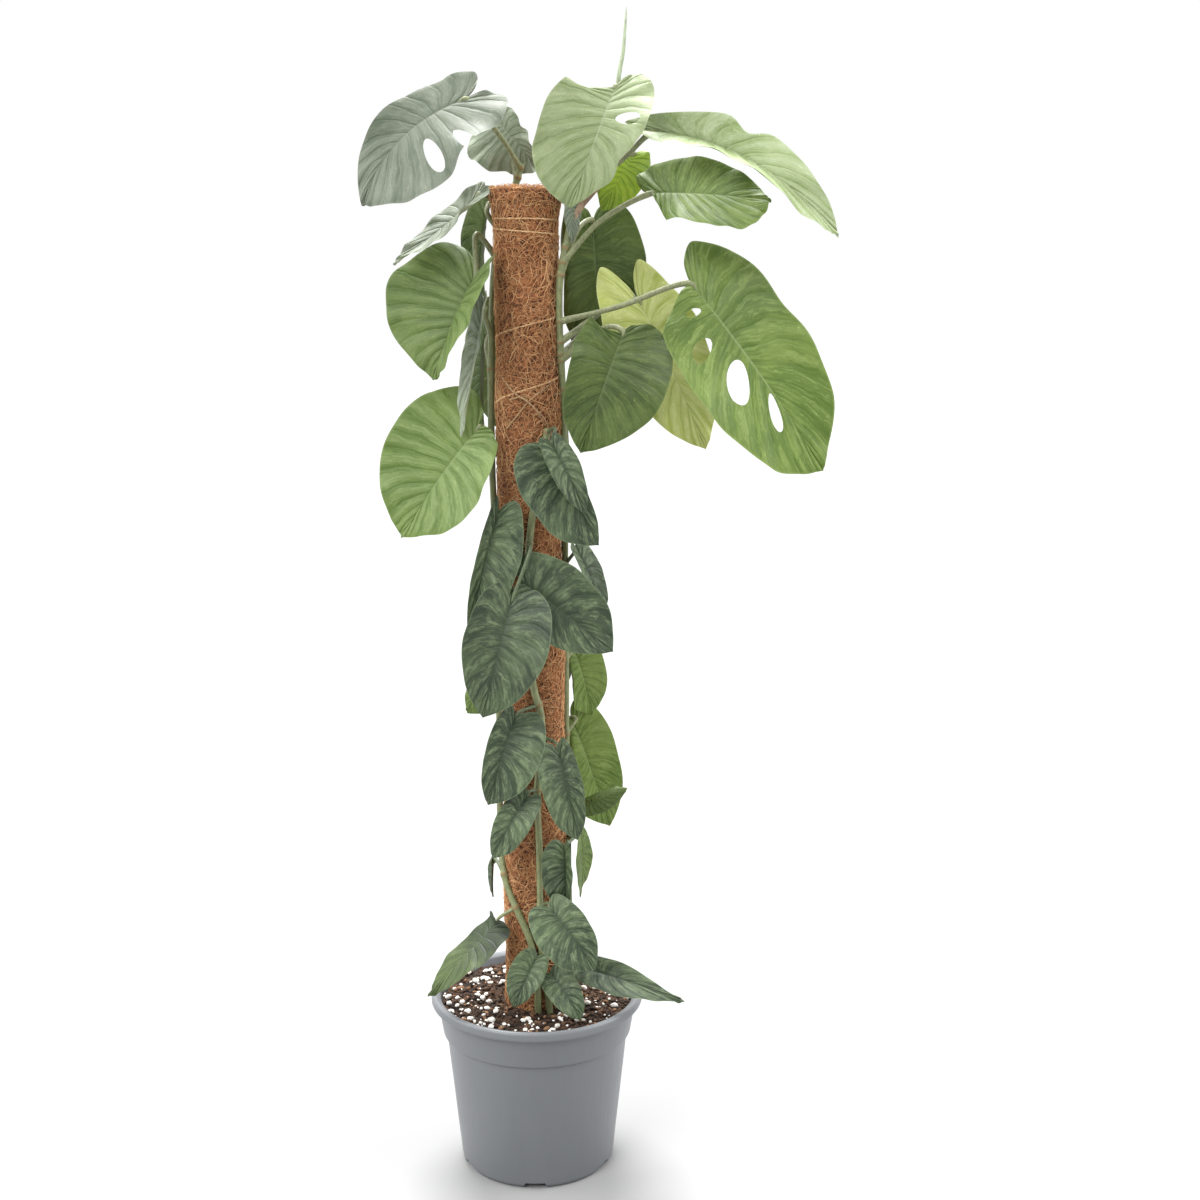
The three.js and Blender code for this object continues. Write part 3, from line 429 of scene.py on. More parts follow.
class Leaf:
    """One leaf of the table, with its blade's shape.

    at is the height of its node on the stem. The stalk goes by way of via to the base, where the
    blade starts, and face is the way that the blade looks. A pair is for the left and the right
    half. A hole is its side, its start and end along the blade, and the same across. Dents (-) and
    swells (+) of the edge are side, place, amount and spread. puff is how much the blade swells
    between its ribs and ruffle how much its edge waves, in millimetres, bow bends the midrib, and
    tone makes the blade lighter or darker, going over to tip_tone towards the tip. This is partly the
    leaf's own shade of green, partly painted shade on leaves that sit in shade and painted light on
    leaves that the lamps leave too dark.
    """

    def __init__(self, name, look, stem, at, via, base, tip, face, width, arch=0.05, fold=0, curl=-16,
                 lobe=1, skew=0, wave=0, clear=0, holes=(), finish=None, puff=0.6, ruffle=0.6, tone=0,
                 tip_tone=None, bow=0, edge=()):
        self.name, self.look, self.stem, self.at, self.holes = name, look, stem, at, holes
        self.finish = finish or ("silver" if look == "shingle" else "deep_green")
        self.via, self.start = np.array(via, float), np.array(base, float)
        self.chord = np.array(tip, float) - self.start
        self.length = np.linalg.norm(self.chord)
        ahead, face = self.chord / self.length, np.array(face, float)
        self.face = unit(face - ahead * (face @ ahead))
        self.width, self.lobe, self.skew = (np.broadcast_to(pair, 2) for pair in (width, lobe, skew))
        self.fold, self.curl = (np.broadcast_to(np.radians(pair), 2) for pair in (fold, curl))
        self.arch, self.wave, self.clear, self.bow, self.edge = arch, wave, clear, bow, edge
        self.puff, self.ruffle, self.tone = puff, ruffle, tone
        self.tip_tone = tone if tip_tone is None else tip_tone
        draw = random.Random(name)
        self.drifts = [draw.uniform(0, FULL_TURN) for _ in range(6)]

    def drift(self, side, number):
        """The leaf's own numbers that set its left and its right half apart."""
        return np.where(side < 0, self.drifts[number], self.drifts[number + 1])

    def margin(self, side, t):
        """How much wider or narrower the blade is than its pattern."""
        d = self.drift(side, 0)
        grow = 1 + 0.025 * np.sin(13 * t + d) + 0.015 * np.sin(31 * t + 2 * d)
        for edge_side, at, amount, spread in self.edge:
            grow = grow + np.where(side == edge_side, amount * hill(t, at, spread), 0)
        return grow

    def ruffled(self, side, t, u):
        """How far the edge stands up or down."""
        d, e = self.drift(side, 2), self.drift(side, 4)
        wave = np.sin(17 * t + d) + 0.55 * np.sin(39 * t + e) + 0.3 * np.sin(71 * t + d)
        return self.ruffle * wave * u**2.2 * smooth_step(t, 0, 0.12) * (1 - smooth_step(t, 0.88, 1))

    def flat(self, side, t, u):
        """A point of the net on the flat blade, across from the midrib and along it."""
        k = np.where(side < 0, 0, 1)
        edge = heart_edge(t)
        rib = self.length * t**1.6
        forward = np.where(edge[..., 1] < 0, edge[..., 1] * self.lobe[k], edge[..., 1])
        edge_y = self.length * (forward + self.skew[k] * edge[..., 0])
        across = side * edge[..., 0] * self.width[k] * self.margin(side, t) * u
        return across, rib + (edge_y - rib) * u

    def bent(self, x, y):
        """Where points of the flat blade lie on the plant."""
        x, y = np.atleast_1d(x).astype(float), np.atleast_1d(y).astype(float)
        s = (y / self.length)[:, None]
        arch = self.arch * self.length
        side = unit(np.cross(self.face, self.chord))
        middle = self.start + self.chord * s + self.face * arch * 4 * s * (1 - s)
        middle = middle + side * self.bow * self.length * np.clip(4 * s * (1 - s), 0, 1)
        along = unit(self.chord + self.face * arch * 4 * (1 - 2 * s))
        across = unit(side - along * (along @ side)[:, None])
        up = np.cross(across, along)
        k = np.where(x < 0, 0, 1)
        reach, half, fold = np.abs(x), self.width[k], self.fold[k]
        bend = self.curl[k] / half + 1e-7
        out = (np.sin(fold + bend * reach) - np.sin(fold)) / bend
        rise = (np.cos(fold) - np.cos(fold + bend * reach)) / bend
        rise += self.wave * (reach / half) ** 2 * np.sin(s[:, 0] * 11 + k * 1.7)
        return self.kept_clear(middle + across * (np.sign(x) * out)[:, None] + up * rise[:, None])

    def kept_clear(self, points):
        """Moves points out from the pole's axis until they clear the pole and its stems."""
        if not self.clear:
            return points
        axis = pole_x(points[:, 2])
        dx = points[:, 0] - axis
        r = np.hypot(dx, points[:, 1])
        over = r - self.clear
        wanted = self.clear + (over + np.hypot(over, CLEAR_BLEND)) / 2
        grow = np.where(over > 4 * CLEAR_BLEND, 1, wanted / r)
        return np.stack([axis + dx * grow, points[:, 1] * grow, points[:, 2]], axis=-1)


def out_of_hole(hole, t, u):
    _, start, end, inner, outer = hole
    along = (2 * t - start - end) / (end - start)
    return math.hypot(along, (2 * u - inner - outer) / (outer - inner))


def onto_rim(hole, corner):
    """Moves a corner of the net onto the rim of a hole."""
    _, start, end, inner, outer = hole
    t, u = (start + end) / 2, (inner + outer) / 2
    if corner[2] == 1:
        height = math.sqrt(max(0, 1 - ((1 - u) / (outer - u)) ** 2))
        corner[1] = t + math.copysign((end - t) * height, corner[1] - t)
    else:
        out = out_of_hole(hole, corner[1], corner[2])
        corner[1] = t + (corner[1] - t) / out
        corner[2] = u + (corner[2] - u) / out


def blade_net(leaf, rows, columns):
    """Corners as side, t and u, and faces that leave the holes open."""
    spread = [(c / columns) ** 1.3 for c in range(columns + 1)]
    corners, number, faces, rims = [], {}, [], {}

    def corner_at(row, column):
        key = (row, 0 if row in (0, rows) else column)
        if key not in number:
            number[key] = len(corners)
            side = (key[1] > 0) - (key[1] < 0)
            corners.append([side, row / rows, spread[abs(key[1])]])
        return number[key]

    for row in range(rows):
        for column in range(-columns, columns):
            square = [corner_at(row, column), corner_at(row + 1, column),
                      corner_at(row + 1, column + 1), corner_at(row, column + 1)]
            square = list(dict.fromkeys(square))
            side = -1 if column < 0 else 1
            t = (row + 0.5) / rows
            u = (spread[abs(column)] + spread[abs(column + 1)]) / 2
            hole = next((h for h in leaf.holes if h[0] == side and out_of_hole(h, t, u) < 1), None)
            if hole:
                rims.update((c, hole) for c in square)
            else:
                faces.append(square)
    for c, hole in rims.items():
        onto_rim(hole, corners[c])
    used = sorted({c for face in faces for c in face})
    order = {c: i for i, c in enumerate(used)}
    return np.array(corners, float)[used], [[order[c] for c in face] for face in faces]


def point_normals(points, faces):
    """Mean normal at each point of faces with three or four corners."""
    square = np.array([(face + face[-1:])[:4] for face in faces])
    p = points[square]
    normal = np.cross(p[:, 2] - p[:, 0], p[:, 3] - p[:, 1])
    normals = np.zeros_like(points)
    for k in range(4):
        twice = square[:, k] == square[:, k - 1]
        np.add.at(normals, square[~twice, k], normal[~twice])
    return unit(normals)


def blade_points(leaf, rows, columns, ribs):
    """The closed blade: its points, its faces with those of the underside last, and its two nets."""
    corners, faces = blade_net(leaf, rows, columns)
    side, t, u = corners.T
    x, y = leaf.flat(side, t, u)
    middle = leaf.bent(x, y)
    normals = point_normals(middle, faces)
    middle = leaf.kept_clear(middle + normals * leaf.ruffled(side, t, u)[:, None])
    normals = point_normals(middle, faces)
    links = {link for face in faces for link in zip(face, face[1:] + face[:1])}
    border = np.zeros(len(middle), bool)
    border[[end for link in links if link[::-1] not in links for end in link]] = True
    gap = (t * ribs - RIB_SWEEP * u**2) % 1
    swell = np.sin(math.pi * gap) ** 0.8 * np.sin(math.pi * np.clip(u, 0, 1) ** 0.8) ** 0.7
    relief = leaf.puff * swell * smooth_step(t, 0, 0.06) * (1 - smooth_step(t, 0.93, 1))
    keel = hill(x, 0, 1.5) * (1 - t) ** 0.5
    half = np.where(border, 0.0, BLADE / 2)
    above = middle + normals * (relief + half - 0.35 * keel)[:, None]
    below = middle + normals * (relief - half - 1.1 * keel)[:, None]
    above[border] = (middle + normals * relief[:, None])[border]
    lower = np.arange(len(middle))
    lower[~border] = len(middle) + np.arange((~border).sum())
    under = [[int(lower[c]) for c in reversed(face)] for face in faces]
    pick = np.concatenate([np.arange(len(middle)), np.nonzero(~border)[0]])
    nets = {"net": np.stack([side * u, t], 1)[pick], "flat": np.stack([x, y], 1)[pick] / 100}
    return np.vstack([above, below[~border]]), faces + under, nets


# Leaf finishes


def upper_finish(name, deep, middle, patch, rib, ribs, patches, rib_strength, bands, streaks=2.4,
                 run=1.6, soft=0.0, heart=0.0):
    """The upper side of a blade: streaks along its side veins, and its veins."""
    f = Finish(name, Specular_IOR_Level=0.4)
    across, along = f.net("net")
    seed, tone = f.number("seed"), f.number("tone")
    side = abs(across)
    here = f.vector(*f.net("flat"), seed)
    drift = f.noise(here, 5, 2) - 0.5
    order = along * ribs - side * side * RIB_SWEEP + drift * 0.5
    from_rib = 0.5 - abs(f.math("FRACT", order) - 0.5)
    half = seed + f.step(across, -0.01, 0.01) * 9
    streak = f.noise(f.vector(side * run + drift, order * streaks, half), 2.1, 4, 0.6)
    brush = f.noise(f.vector(side * 2.4, order * streaks * 3.1, half + 4), 2.1, 3, 0.6)
    broad = f.noise(here, 2.6, 3)
    fine = f.noise(here, 42, 3, 0.6)
    line = f.step(from_rib, 0.0, 0.07, 1, 0) * f.step(side, 0.55, 0.95, 1, 0.0)
    open_part = f.step(from_rib, 0.05, 0.4) * f.step(side, 0.04, 0.25)
    pale = f.step(streak + (brush - 0.5) * 0.5 + (fine - 0.5) * 0.2, 0.46 - soft, 0.68 + soft)
    pale = pale * (0.35 + open_part * 0.65) * f.step(side, 0.9, 0.99, 1, 0.3) * patches
    colour = f.mix(f.step(broad + (streak - 0.5) * 0.7, 0.36, 0.66), deep, middle)
    colour = f.mix(f.step(from_rib + (brush - 0.5) * 0.4, 0.05, 0.42) * bands, colour, patch)
    colour = f.mix(pale, colour, patch)
    if heart:
        core = f.step(side + (streak - 0.5) * 0.5 + (broad - 0.5) * 0.4, 0.02, 0.36, 1, 0)
        colour = f.mix(core * heart, colour, deep)
    dash = f.noise(f.vector(side * 7, order * 4.5, half + 7), 2.1, 2, 0.5)
    colour = f.mix(f.step(dash, 0.66, 0.74) * open_part * 0.55, colour, times(patch, 1.18))
    colour = f.mix(line * rib_strength, colour, rib)
    colour = f.mix(f.step(side, 0.0, 0.028, 1, 0) * 0.8, colour, rib)
    colour = f.mix(f.step(side, 0.965, 0.995) * 0.45, colour, patch)
    # fine and brush lighten and darken at random; tone is partly painted shade and painted light for
    # how each leaf sits in the light.
    shade = (fine - 0.5) * 0.3 + (brush - 0.5) * 0.3 + tone
    colour = f.mix(f.math("MAXIMUM", shade, 0.0), colour, (255, 255, 255), "SOFT_LIGHT")
    colour = f.mix(f.math("MAXIMUM", shade * -1.0, 0.0), colour, (0, 0, 0), "SOFT_LIGHT")
    height = f.step(from_rib, 0.0, 0.14) * 0.6 + f.noise(here, 95, 2) * 0.12 + brush * 0.3
    rough = 0.52 + (fine - 0.5) * 0.14 + (streak - 0.5) * 0.1
    return f.done(colour, rough, f.bump(height, 0.00045))


def under_finish(name, base, rib, ribs):
    """The duller underside of a blade, where the veins stand out."""
    f = Finish(name)
    across, along = f.net("net")
    here = f.vector(*f.net("flat"), f.number("seed"))
    side = abs(across)
    order = along * ribs - side * side * RIB_SWEEP + (f.noise(here, 5, 2) - 0.5) * 0.5
    from_rib = 0.5 - abs(f.math("FRACT", order) - 0.5)
    line = f.step(from_rib, 0.02, 0.09, 1, 0) * f.step(side, 0.8, 1, 1, 0.2)
    web = f.noise(here, 30, 4, 0.7)
    colour = f.mix(f.noise(here, 3, 3), base, times(base, 0.86))
    colour = f.mix(f.math("MAXIMUM", line * 0.6, f.step(side, 0.0, 0.05, 1, 0)), colour, rib)
    colour = f.mix(f.step(web, 0.5, 0.7) * 0.3, colour, rib)
    return f.done(colour, 0.6 + (web - 0.5) * 0.1, f.bump(line + web * 0.3, 0.0004))


def stalk_finish(name, base, fleck, roughness=0.45):
    """Green stalks and stems, browner and rougher at their nodes."""
    f = Finish(name)
    streak = f.noise(f.place(6, 1), 120, 3)
    node = f.number("node")
    colour = f.mix(f.step(streak, 0.3, 0.7), base, times(base, 0.8))
    colour = f.mix(f.step(f.noise(f.place(), 900, 2), 0.56, 0.7) * 0.6, colour, fleck)
    colour = f.mix(f.step(node + (streak - 0.5) * 0.7, 0.35, 0.95) * 0.8, colour, (128, 104, 70))
    height = streak + node * f.noise(f.place(), 500, 3) * 2
    return f.done(colour, roughness + node * 0.3, f.bump(height, 0.0002))


UNDERS = {
    "broad": under_finish("leaf_under", (97, 114, 64), (124, 137, 93), RIBS["broad"]),
    "pale": under_finish("leaf_under_pale", (160, 171, 140), (176, 184, 160), RIBS["broad"]),
    "small": under_finish("leaf_under_small", (76, 93, 51), (104, 118, 78), RIBS["small"]),
}
STALK = stalk_finish("stalk", (128, 134, 94), (158, 160, 126))
SMALL_STALK = stalk_finish("small_stalk", (88, 101, 70), (120, 130, 102))
STEM = stalk_finish("climbing_stem", (124, 131, 88), (152, 156, 122), 0.5)

# The underside; the upper side's deep and middle colours and those of its patches and ribs; and how
# strong its patches, its ribs and the bands between the ribs are.
UPPERS = {
    # A greyed green: partly the leaf's own colour, partly painted sheen of leaves under strong top
    # light.
    "sage": ("pale", (74, 85, 66), (92, 100, 84), (113, 119, 105), (110, 114, 100), 0.5, 0.4, 0.4),
    "frost": ("pale", (84, 96, 72), (108, 117, 96), (142, 149, 134), (124, 130, 112), 0.6, 0.4, 0.4),
    "fresh": ("pale", (104, 120, 70), (122, 136, 94), (144, 154, 118), (146, 154, 126), 0.4, 0.4, 0.4),
    # A lighter pale green for the arching leaf: partly its own colour, partly painted light, because
    # the lamps leave its upper side in shade.
    "mist": ("pale", (114, 132, 80), (139, 154, 110), (164, 175, 142), (160, 170, 140), 0.5, 0.4, 0.4),
    "lime": ("broad", (96, 129, 12), (129, 157, 18), (156, 175, 60), (128, 152, 54), 0.3, 0.7, 0.4),
    "cream": ("pale", (138, 150, 66), (156, 165, 88), (182, 187, 126), (172, 178, 124), 0.4, 0.4, 0.4),
    "deep_green": ("broad", (62, 84, 20), (85, 105, 40), (113, 130, 70), (110, 126, 78), 0.5, 0.2,
                   0.15),
    "ribbed": ("broad", (70, 93, 30), (90, 111, 48), (113, 131, 76), (112, 129, 80), 0.6, 0.25, 0.45),
    "silver": ("small", (37, 52, 32), (68, 84, 54), (116, 132, 98), (50, 66, 42), 0.7, 0.65, 0.12),
}
BLADES = {}
for title, (under, deep, middle, patch, rib, *strengths) in UPPERS.items():
    silver = dict(streaks=1.9, run=1.4, soft=0.05, heart=0.6) if title == "silver" else {}
    ribs = RIBS["small" if silver else "broad"]
    upper = upper_finish("leaf_" + title, deep, middle, patch, rib, ribs, *strengths, **silver)
    BLADES[title] = (upper, UNDERS[under], SMALL_STALK if silver else STALK)


# Leaves

# tone and tip_tone below are partly the leaves' own shades of green and partly painted shade and
# painted light: darker on leaves that sit in shade, lighter on leaves that the lamps leave too dark.
LEAVES = [
    Leaf("leaf_top_left", "pale", "left", 880, (-27, 12, 905), (-52, -10, 931), (-133, -55, 843),
         (-0.25, -0.85, 0.45), (30, 52), fold=(-8, 5), curl=(-20, -8), lobe=(1.4, 1.8),
         skew=(0, 0.12), wave=2.5,
         holes=[(1, 0.49, 0.56, 0.28, 0.86), (1, 0.385, 0.425, 0.55, 1.2)], finish="sage",
         ruffle=1.8, bow=-0.1,
         edge=[(-1, 0.45, -0.1, 0.06), (-1, 0.3, 0.1, 0.05), (1, 0.56, 0.12, 0.1)]),
    Leaf("leaf_top_rear", "pale", "left", 872, (-20, 42, 892), (-32, 45, 922), (5, 43, 879),
         (-0.2, -0.85, 0.3), (36, 18), arch=0.1, fold=(4, -35), curl=(-10, -20), wave=2,
         finish="frost", ruffle=3.4, tone=0.45,
         edge=[(1, 0.5, -0.2, 0.05), (-1, 0.4, 0.1, 0.05), (-1, 0.65, -0.15, 0.04)]),
    Leaf("leaf_top_centre", "pale", "right", 862, (62, -14, 900), (70, -33, 938), (34, -70, 840),
         (0.12, -0.9, 0.42), (49, 35), arch=0.08, fold=-6, curl=(-22, -18), lobe=(-0.3, 0.9),
         skew=(0.2, -0.08), wave=1.5, holes=[(1, 0.4375, 0.5, 0.25, 0.8)], finish="fresh", puff=0.9,
         ruffle=1.6, edge=[(1, 0.62, -0.12, 0.03), (1, 0.7, 0.06, 0.04)]),
    Leaf("leaf_arching_right", "green", "right", 856, (76, -4, 884), (100, -10, 905),
         (247, -60, 818), (0.3, -0.6, 0.75), (34, 30), arch=0.12, fold=(-8, -60), curl=(-20, -24),
         wave=1.5, finish="mist", ruffle=2.6, tip_tone=0.4,
         edge=[(1, 0.3, -0.45, 0.2), (-1, 0.3, -0.45, 0.2), (1, 0.52, -0.3, 0.03),
               (-1, 0.62, 0.1, 0.08)]),
    Leaf("leaf_upper_right", "green", "right", 800, (58, -16, 834), (99, -15, 856), (193, -60, 847),
         (0.1, -0.86, 0.5), (37, 32), arch=0.02, fold=-4, curl=(-14, -18), lobe=(0, 1),
         skew=(0.3, -0.05), wave=1.5, puff=0.9, ruffle=2.4, tone=0.25,
         edge=[(1, 0.85, -0.15, 0.05), (1, 0.14, -0.2, 0.07)]),
    Leaf("leaf_young", "young", "right", 850, (58, 8, 874), (86, 14, 890), (58, 8, 843),
         (0.1, -0.95, 0.2), (18, 20), arch=0.08, fold=6, curl=-8, wave=1, finish="lime", puff=0.5,
         ruffle=1.2),
    Leaf("leaf_great_right", "green", "right", 752, (72, -26, 764), (131, -30, 783),
         (239, -62, 632), (0.1, -0.92, 0.36), (58, 54), fold=(-3, -5), curl=(-14, -16),
         lobe=(0.2, 1.1), skew=(0.16, 0), wave=2,
         holes=[(-1, 0.505, 0.6, 0.12, 0.6), (-1, 0.6875, 0.75, 0.05, 0.5),
                (-1, 0.385, 0.43, 0.3, 0.72), (-1, 0.265, 0.31, 0.2, 0.55)],
         puff=0.8, ruffle=1.8, tone=0.16, tip_tone=0.4,
         edge=[(1, 0.47, -0.13, 0.06), (1, 0.7, 0.14, 0.1), (-1, 0.22, -0.06, 0.05)]),
    Leaf("leaf_middle_right", "green", "right", 720, (64, -34, 748), (76, -42, 744), (41, -55, 646),
         (0.05, -0.95, 0.25), (36, 50), arch=0.06, fold=(-12, -4), curl=(-18, -14),
         lobe=(-0.3, 0.9), wave=1.5, puff=0.9, ruffle=1.6, tone=-0.4),
    Leaf("leaf_yellow_right", "young", "right", 735, (66, 6, 764), (89, 4, 770), (147, -4, 645),
         (0.05, -0.95, 0.2), (42, 37), fold=-4, curl=(-10, -14), lobe=(2, 1.6), wave=1.5,
         finish="cream", puff=0.5, ruffle=1.8, tone=0.25),
    Leaf("leaf_dark_right", "green", "right", 790, (40, 6, 830), (51, 22, 836), (55, 34, 716.5),
         (0.1, -0.95, 0.1), (39, 42), fold=(4, 2), curl=(-14, -18), wave=1.5, clear=35, puff=0.8,
         ruffle=1.0, tone=-0.2),
    Leaf("leaf_shaded_right", "green", "right", 725, (37, 9, 738), (36, 16, 744), (50, 22, 694),
         (0.2, -0.9, 0.1), (24, 22), curl=-10, clear=38, tone=-0.3),
    Leaf("leaf_strip_right", "young", "right", 696, (36, 22, 706), (35, 26, 712), (29, 30, 660),
         (0.8, -0.5, 0.1), (18, 14), curl=-10, clear=38, finish="cream", puff=0.3),
    Leaf("leaf_sliver_right", "pale", "right", 812, (38, -8, 850), (31, -14, 856), (32, -14, 816),
         (0.6, -0.8, 0.1), 10, curl=-10, clear=37, finish="frost", puff=0.3),
    Leaf("leaf_broad_left", "green", "left", 806, (-46, 2, 824), (-46, -12, 790), (-81, -30, 704),
         (-0.25, -0.92, 0.28), (63, 46), arch=0.07, fold=(-4, -45), curl=(-14, -16),
         lobe=(1.6, 1.2), wave=2, finish="ribbed", puff=1.0, ruffle=1.8, tone=-0.1),
    Leaf("leaf_folded_left", "pale", "left", 844, (-40, 8, 856), (-44, 2, 856), (-112, -34, 798),
         (-0.4, -0.55, 0.72), (14, 22), arch=-0.03, fold=-10, curl=-20, wave=1.5, finish="frost",
         ruffle=2.0),
    Leaf("leaf_hanging_left", "green", "left", 826, (-38, 17, 842), (-36, 24, 850), (-45, 24, 758),
         (-0.5, -0.85, 0.1), (22, 24), curl=-14, clear=38, tone=-0.2),
    Leaf("leaf_strip_left", "pale", "left", 740, (-40, -16, 762), (-38, -26, 763), (-59, -28, 657),
         (-0.85, -0.5, 0.15), 14, arch=0, fold=-20, curl=-14, clear=38.5, finish="frost",
         ruffle=1.2, tone=0.75),
    Leaf("leaf_shaded_left", "green", "left", 712, (-40, 14, 732), (-38, 22, 742), (-46, 22, 650),
         (-0.6, -0.8, 0.1), (22, 24), curl=-10, clear=39, tone=-0.3),
    Leaf("leaf_lower_left", "green", "left", 640, (-42, -12, 664), (-44, -20, 665),
         (-109, -40, 574), (-0.2, -0.93, 0.3), (60, 43), fold=(-4, -8), curl=(-14, -16),
         lobe=(1.5, 0.3), skew=(0, 0.04), wave=2, finish="ribbed", puff=1.0, ruffle=1.8, tone=0.16,
         edge=[(1, 0.26, -0.4, 0.15), (1, 0.6, 0.15, 0.12)]),
    Leaf("shingle_1", "shingle", "front", 661, (20, -41, 665), (17, -49, 653), (45, -56, 596),
         (0.3, -0.94, 0.15), (15, 13), arch=0.08, fold=-12, clear=50),
    Leaf("shingle_2", "shingle", "front", 650, (13, -38, 655), (12, -40, 651), (56, -42, 568),
         (0.15, -0.96, 0.15), (40, 14), arch=0.06, fold=(-6, -24), curl=(-14, -20),
         lobe=(0.8, -0.6), skew=(0.05, 0), clear=39),
    Leaf("shingle_3", "shingle", "left", 575, (-36, -22, 590), (-28, -36, 594), (-55, -33, 488),
         (-0.25, -0.95, 0.1), (10, 32), arch=0.02, fold=(-30, -6), curl=(-30, -14), clear=38),
    Leaf("shingle_4", "shingle", "front", 545, (-8, -38, 548), (-9, -41, 538), (68, -45, 478),
         (0.15, -0.97, 0.15), (30, 37), arch=0.06, fold=(-5, -8), curl=(-14, -24), lobe=(0.1, 1),
         clear=40),
    Leaf("shingle_5", "shingle", "front", 568, (-1, -51, 565), (-16, -57, 523), (-41, -66, 426),
         (-0.05, -0.98, 0.2), (31, 42), arch=0.06, fold=(-5, -6), curl=-20, clear=55, tone=-0.2),
    Leaf("shingle_6", "shingle", "right", 545, (36, -4, 558), (35, -10, 560), (60, -5, 496),
         (0.8, -0.5, 0.25), 16, arch=0.06, fold=-10, curl=-20, clear=37.5),
    Leaf("shingle_7", "green", "right", 460, (36, 16, 470), (32, 26, 468), (50, 30, 405),
         (0.35, -0.9, 0.1), (30, 24), fold=-4, curl=-14, clear=37.5, tone=0.45),
    Leaf("shingle_8", "green", "left", 440, (-39, 4, 446), (-40, 4, 444), (-60, 6, 412),
         (-0.5, -0.8, 0.1), (14, 20), fold=6, curl=-10, clear=37.5),
    Leaf("shingle_9", "shingle", "front", 428, (-12, -40, 424), (-15, -40, 419), (-39, -46, 344),
         (-0.15, -0.97, 0.15), (17, 35), fold=(-20, -5), curl=(-20, -16), clear=39),
    Leaf("shingle_10", "shingle", "front", 400, (20, -38, 396), (21, -44, 391), (38, -50, 314),
         (0.3, -0.94, 0.15), (25, 15), arch=0.06, fold=(-6, -20), curl=(-14, -30), clear=44),
    Leaf("shingle_11", "green", "right", 393, (36, 16, 404), (30, 28, 402), (66, 26, 302),
         (0.3, -0.95, 0.1), (36, 30), fold=-4, curl=(-10, -14), clear=37.5, tone=0.5),
    Leaf("shingle_12", "green", "right", 330, (38, -8, 334), (40, -12, 332), (81, -15, 350),
         (0.1, -0.8, 0.6), (14, 12), fold=30, curl=30, clear=37.5, tone=-0.3),
    Leaf("shingle_13", "shingle", "front", 352, (-4, -40, 354), (-6, -41, 349), (-36, -42, 295),
         (-0.3, -0.94, 0.15), (14, 19), arch=0.06, fold=(-10, -6), curl=(-14, -16), clear=39),
    Leaf("shingle_14", "shingle", "right", 300, (35, -22, 308), (26, -36, 303), (27, -36, 246),
         (0.1, -0.98, 0.1), (22, 14), fold=(-6, -60), curl=(-14, -20), clear=38),
    Leaf("shingle_15", "green", "right", 296, (37, 2, 302), (37, 2, 301), (33, 2, 243),
         (0.8, -0.6, 0.1), 15, arch=0.08, curl=-14, clear=37.5),
    Leaf("shingle_16", "shingle", "left", 270, (-36, 6, 277), (-35, 10, 274), (-36, 10, 240),
         (-0.7, -0.7, 0.1), 9, curl=-14, clear=37.5),
    Leaf("shingle_17", "shingle", "front", 246, (12, -44, 255), (14, -50, 253), (53, -62, 201),
         (0.15, -0.95, 0.3), (29, 20), arch=0.08, fold=-6, clear=47),
    Leaf("shingle_18", "green", "left", 244, (-32, -24, 234), (-31, -17, 228), (-92, -62, 177),
         (-0.3, -0.3, 0.9), (18, 22), arch=0.02, fold=(10, 14), curl=-20, clear=37.5, puff=0.7,
         ruffle=1.4, tone=-1.0, tip_tone=-0.65),
    Leaf("shingle_19", "shingle", "left", 192, (2, -44, 206), (2, -48, 207), (-18, -62, 167),
         (-0.1, -0.93, 0.35), (17, 14), arch=0.08, fold=-8, curl=-12, clear=42),
    Leaf("shingle_20", "shingle", "front", 176, (14, -42, 190), (14, -46, 191), (41, -66, 157),
         (0.2, -0.9, 0.45), 15, arch=0.1, fold=-8, curl=-12, clear=42),
    Leaf("shingle_21", "shingle", "right", 182, (34, -24, 192), (36, -30, 191), (131, -48, 166),
         (0.15, -0.7, 0.7), (18, 14), arch=0.04, fold=-8, curl=-14, skew=(0.1, 0), clear=37.5,
         ruffle=1.2, tone=-0.2, edge=[(1, 0.74, -0.5, 0.14), (-1, 0.74, -0.5, 0.14)]),
    Leaf("back_leaf_1", "green", "back", 752, (-8, 46, 764), (-12, 54, 760), (-26, 72, 650),
         (-0.2, 0.95, 0.25), (34, 44), arch=0.07, fold=-5, wave=1.5, clear=52),
    Leaf("back_leaf_2", "green", "back", 672, (-2, 42, 684), (-3, 46, 680), (2, 60, 584),
         (0.05, 0.97, 0.2), 32, arch=0.07, fold=-8, wave=1.5, clear=40),
    Leaf("back_leaf_3", "shingle", "back", 568, (-4, 42, 578), (-6, 44, 574), (-18, 50, 490),
         (-0.1, 0.98, 0.15), 30, arch=0.06, fold=-8, clear=40),
    Leaf("back_leaf_4", "shingle", "back", 484, (2, 42, 492), (3, 44, 488), (12, 50, 408),
         (0.1, 0.98, 0.15), 28, arch=0.06, fold=-8, clear=40),
    Leaf("back_leaf_5", "shingle", "back", 400, (-3, 42, 408), (-5, 44, 404), (-14, 48, 330),
         (-0.1, 0.98, 0.15), 26, arch=0.06, fold=-8, clear=40),
    Leaf("back_leaf_6", "shingle", "back", 322, (2, 42, 330), (4, 44, 326), (13, 48, 262),
         (0.1, 0.98, 0.15), 24, arch=0.06, fold=-8, clear=40),
    Leaf("back_leaf_7", "shingle", "back", 240, (-2, 42, 252), (-4, 46, 250), (-16, 60, 196),
         (-0.15, 0.95, 0.3), 22, arch=0.08, fold=-8, clear=40),
]


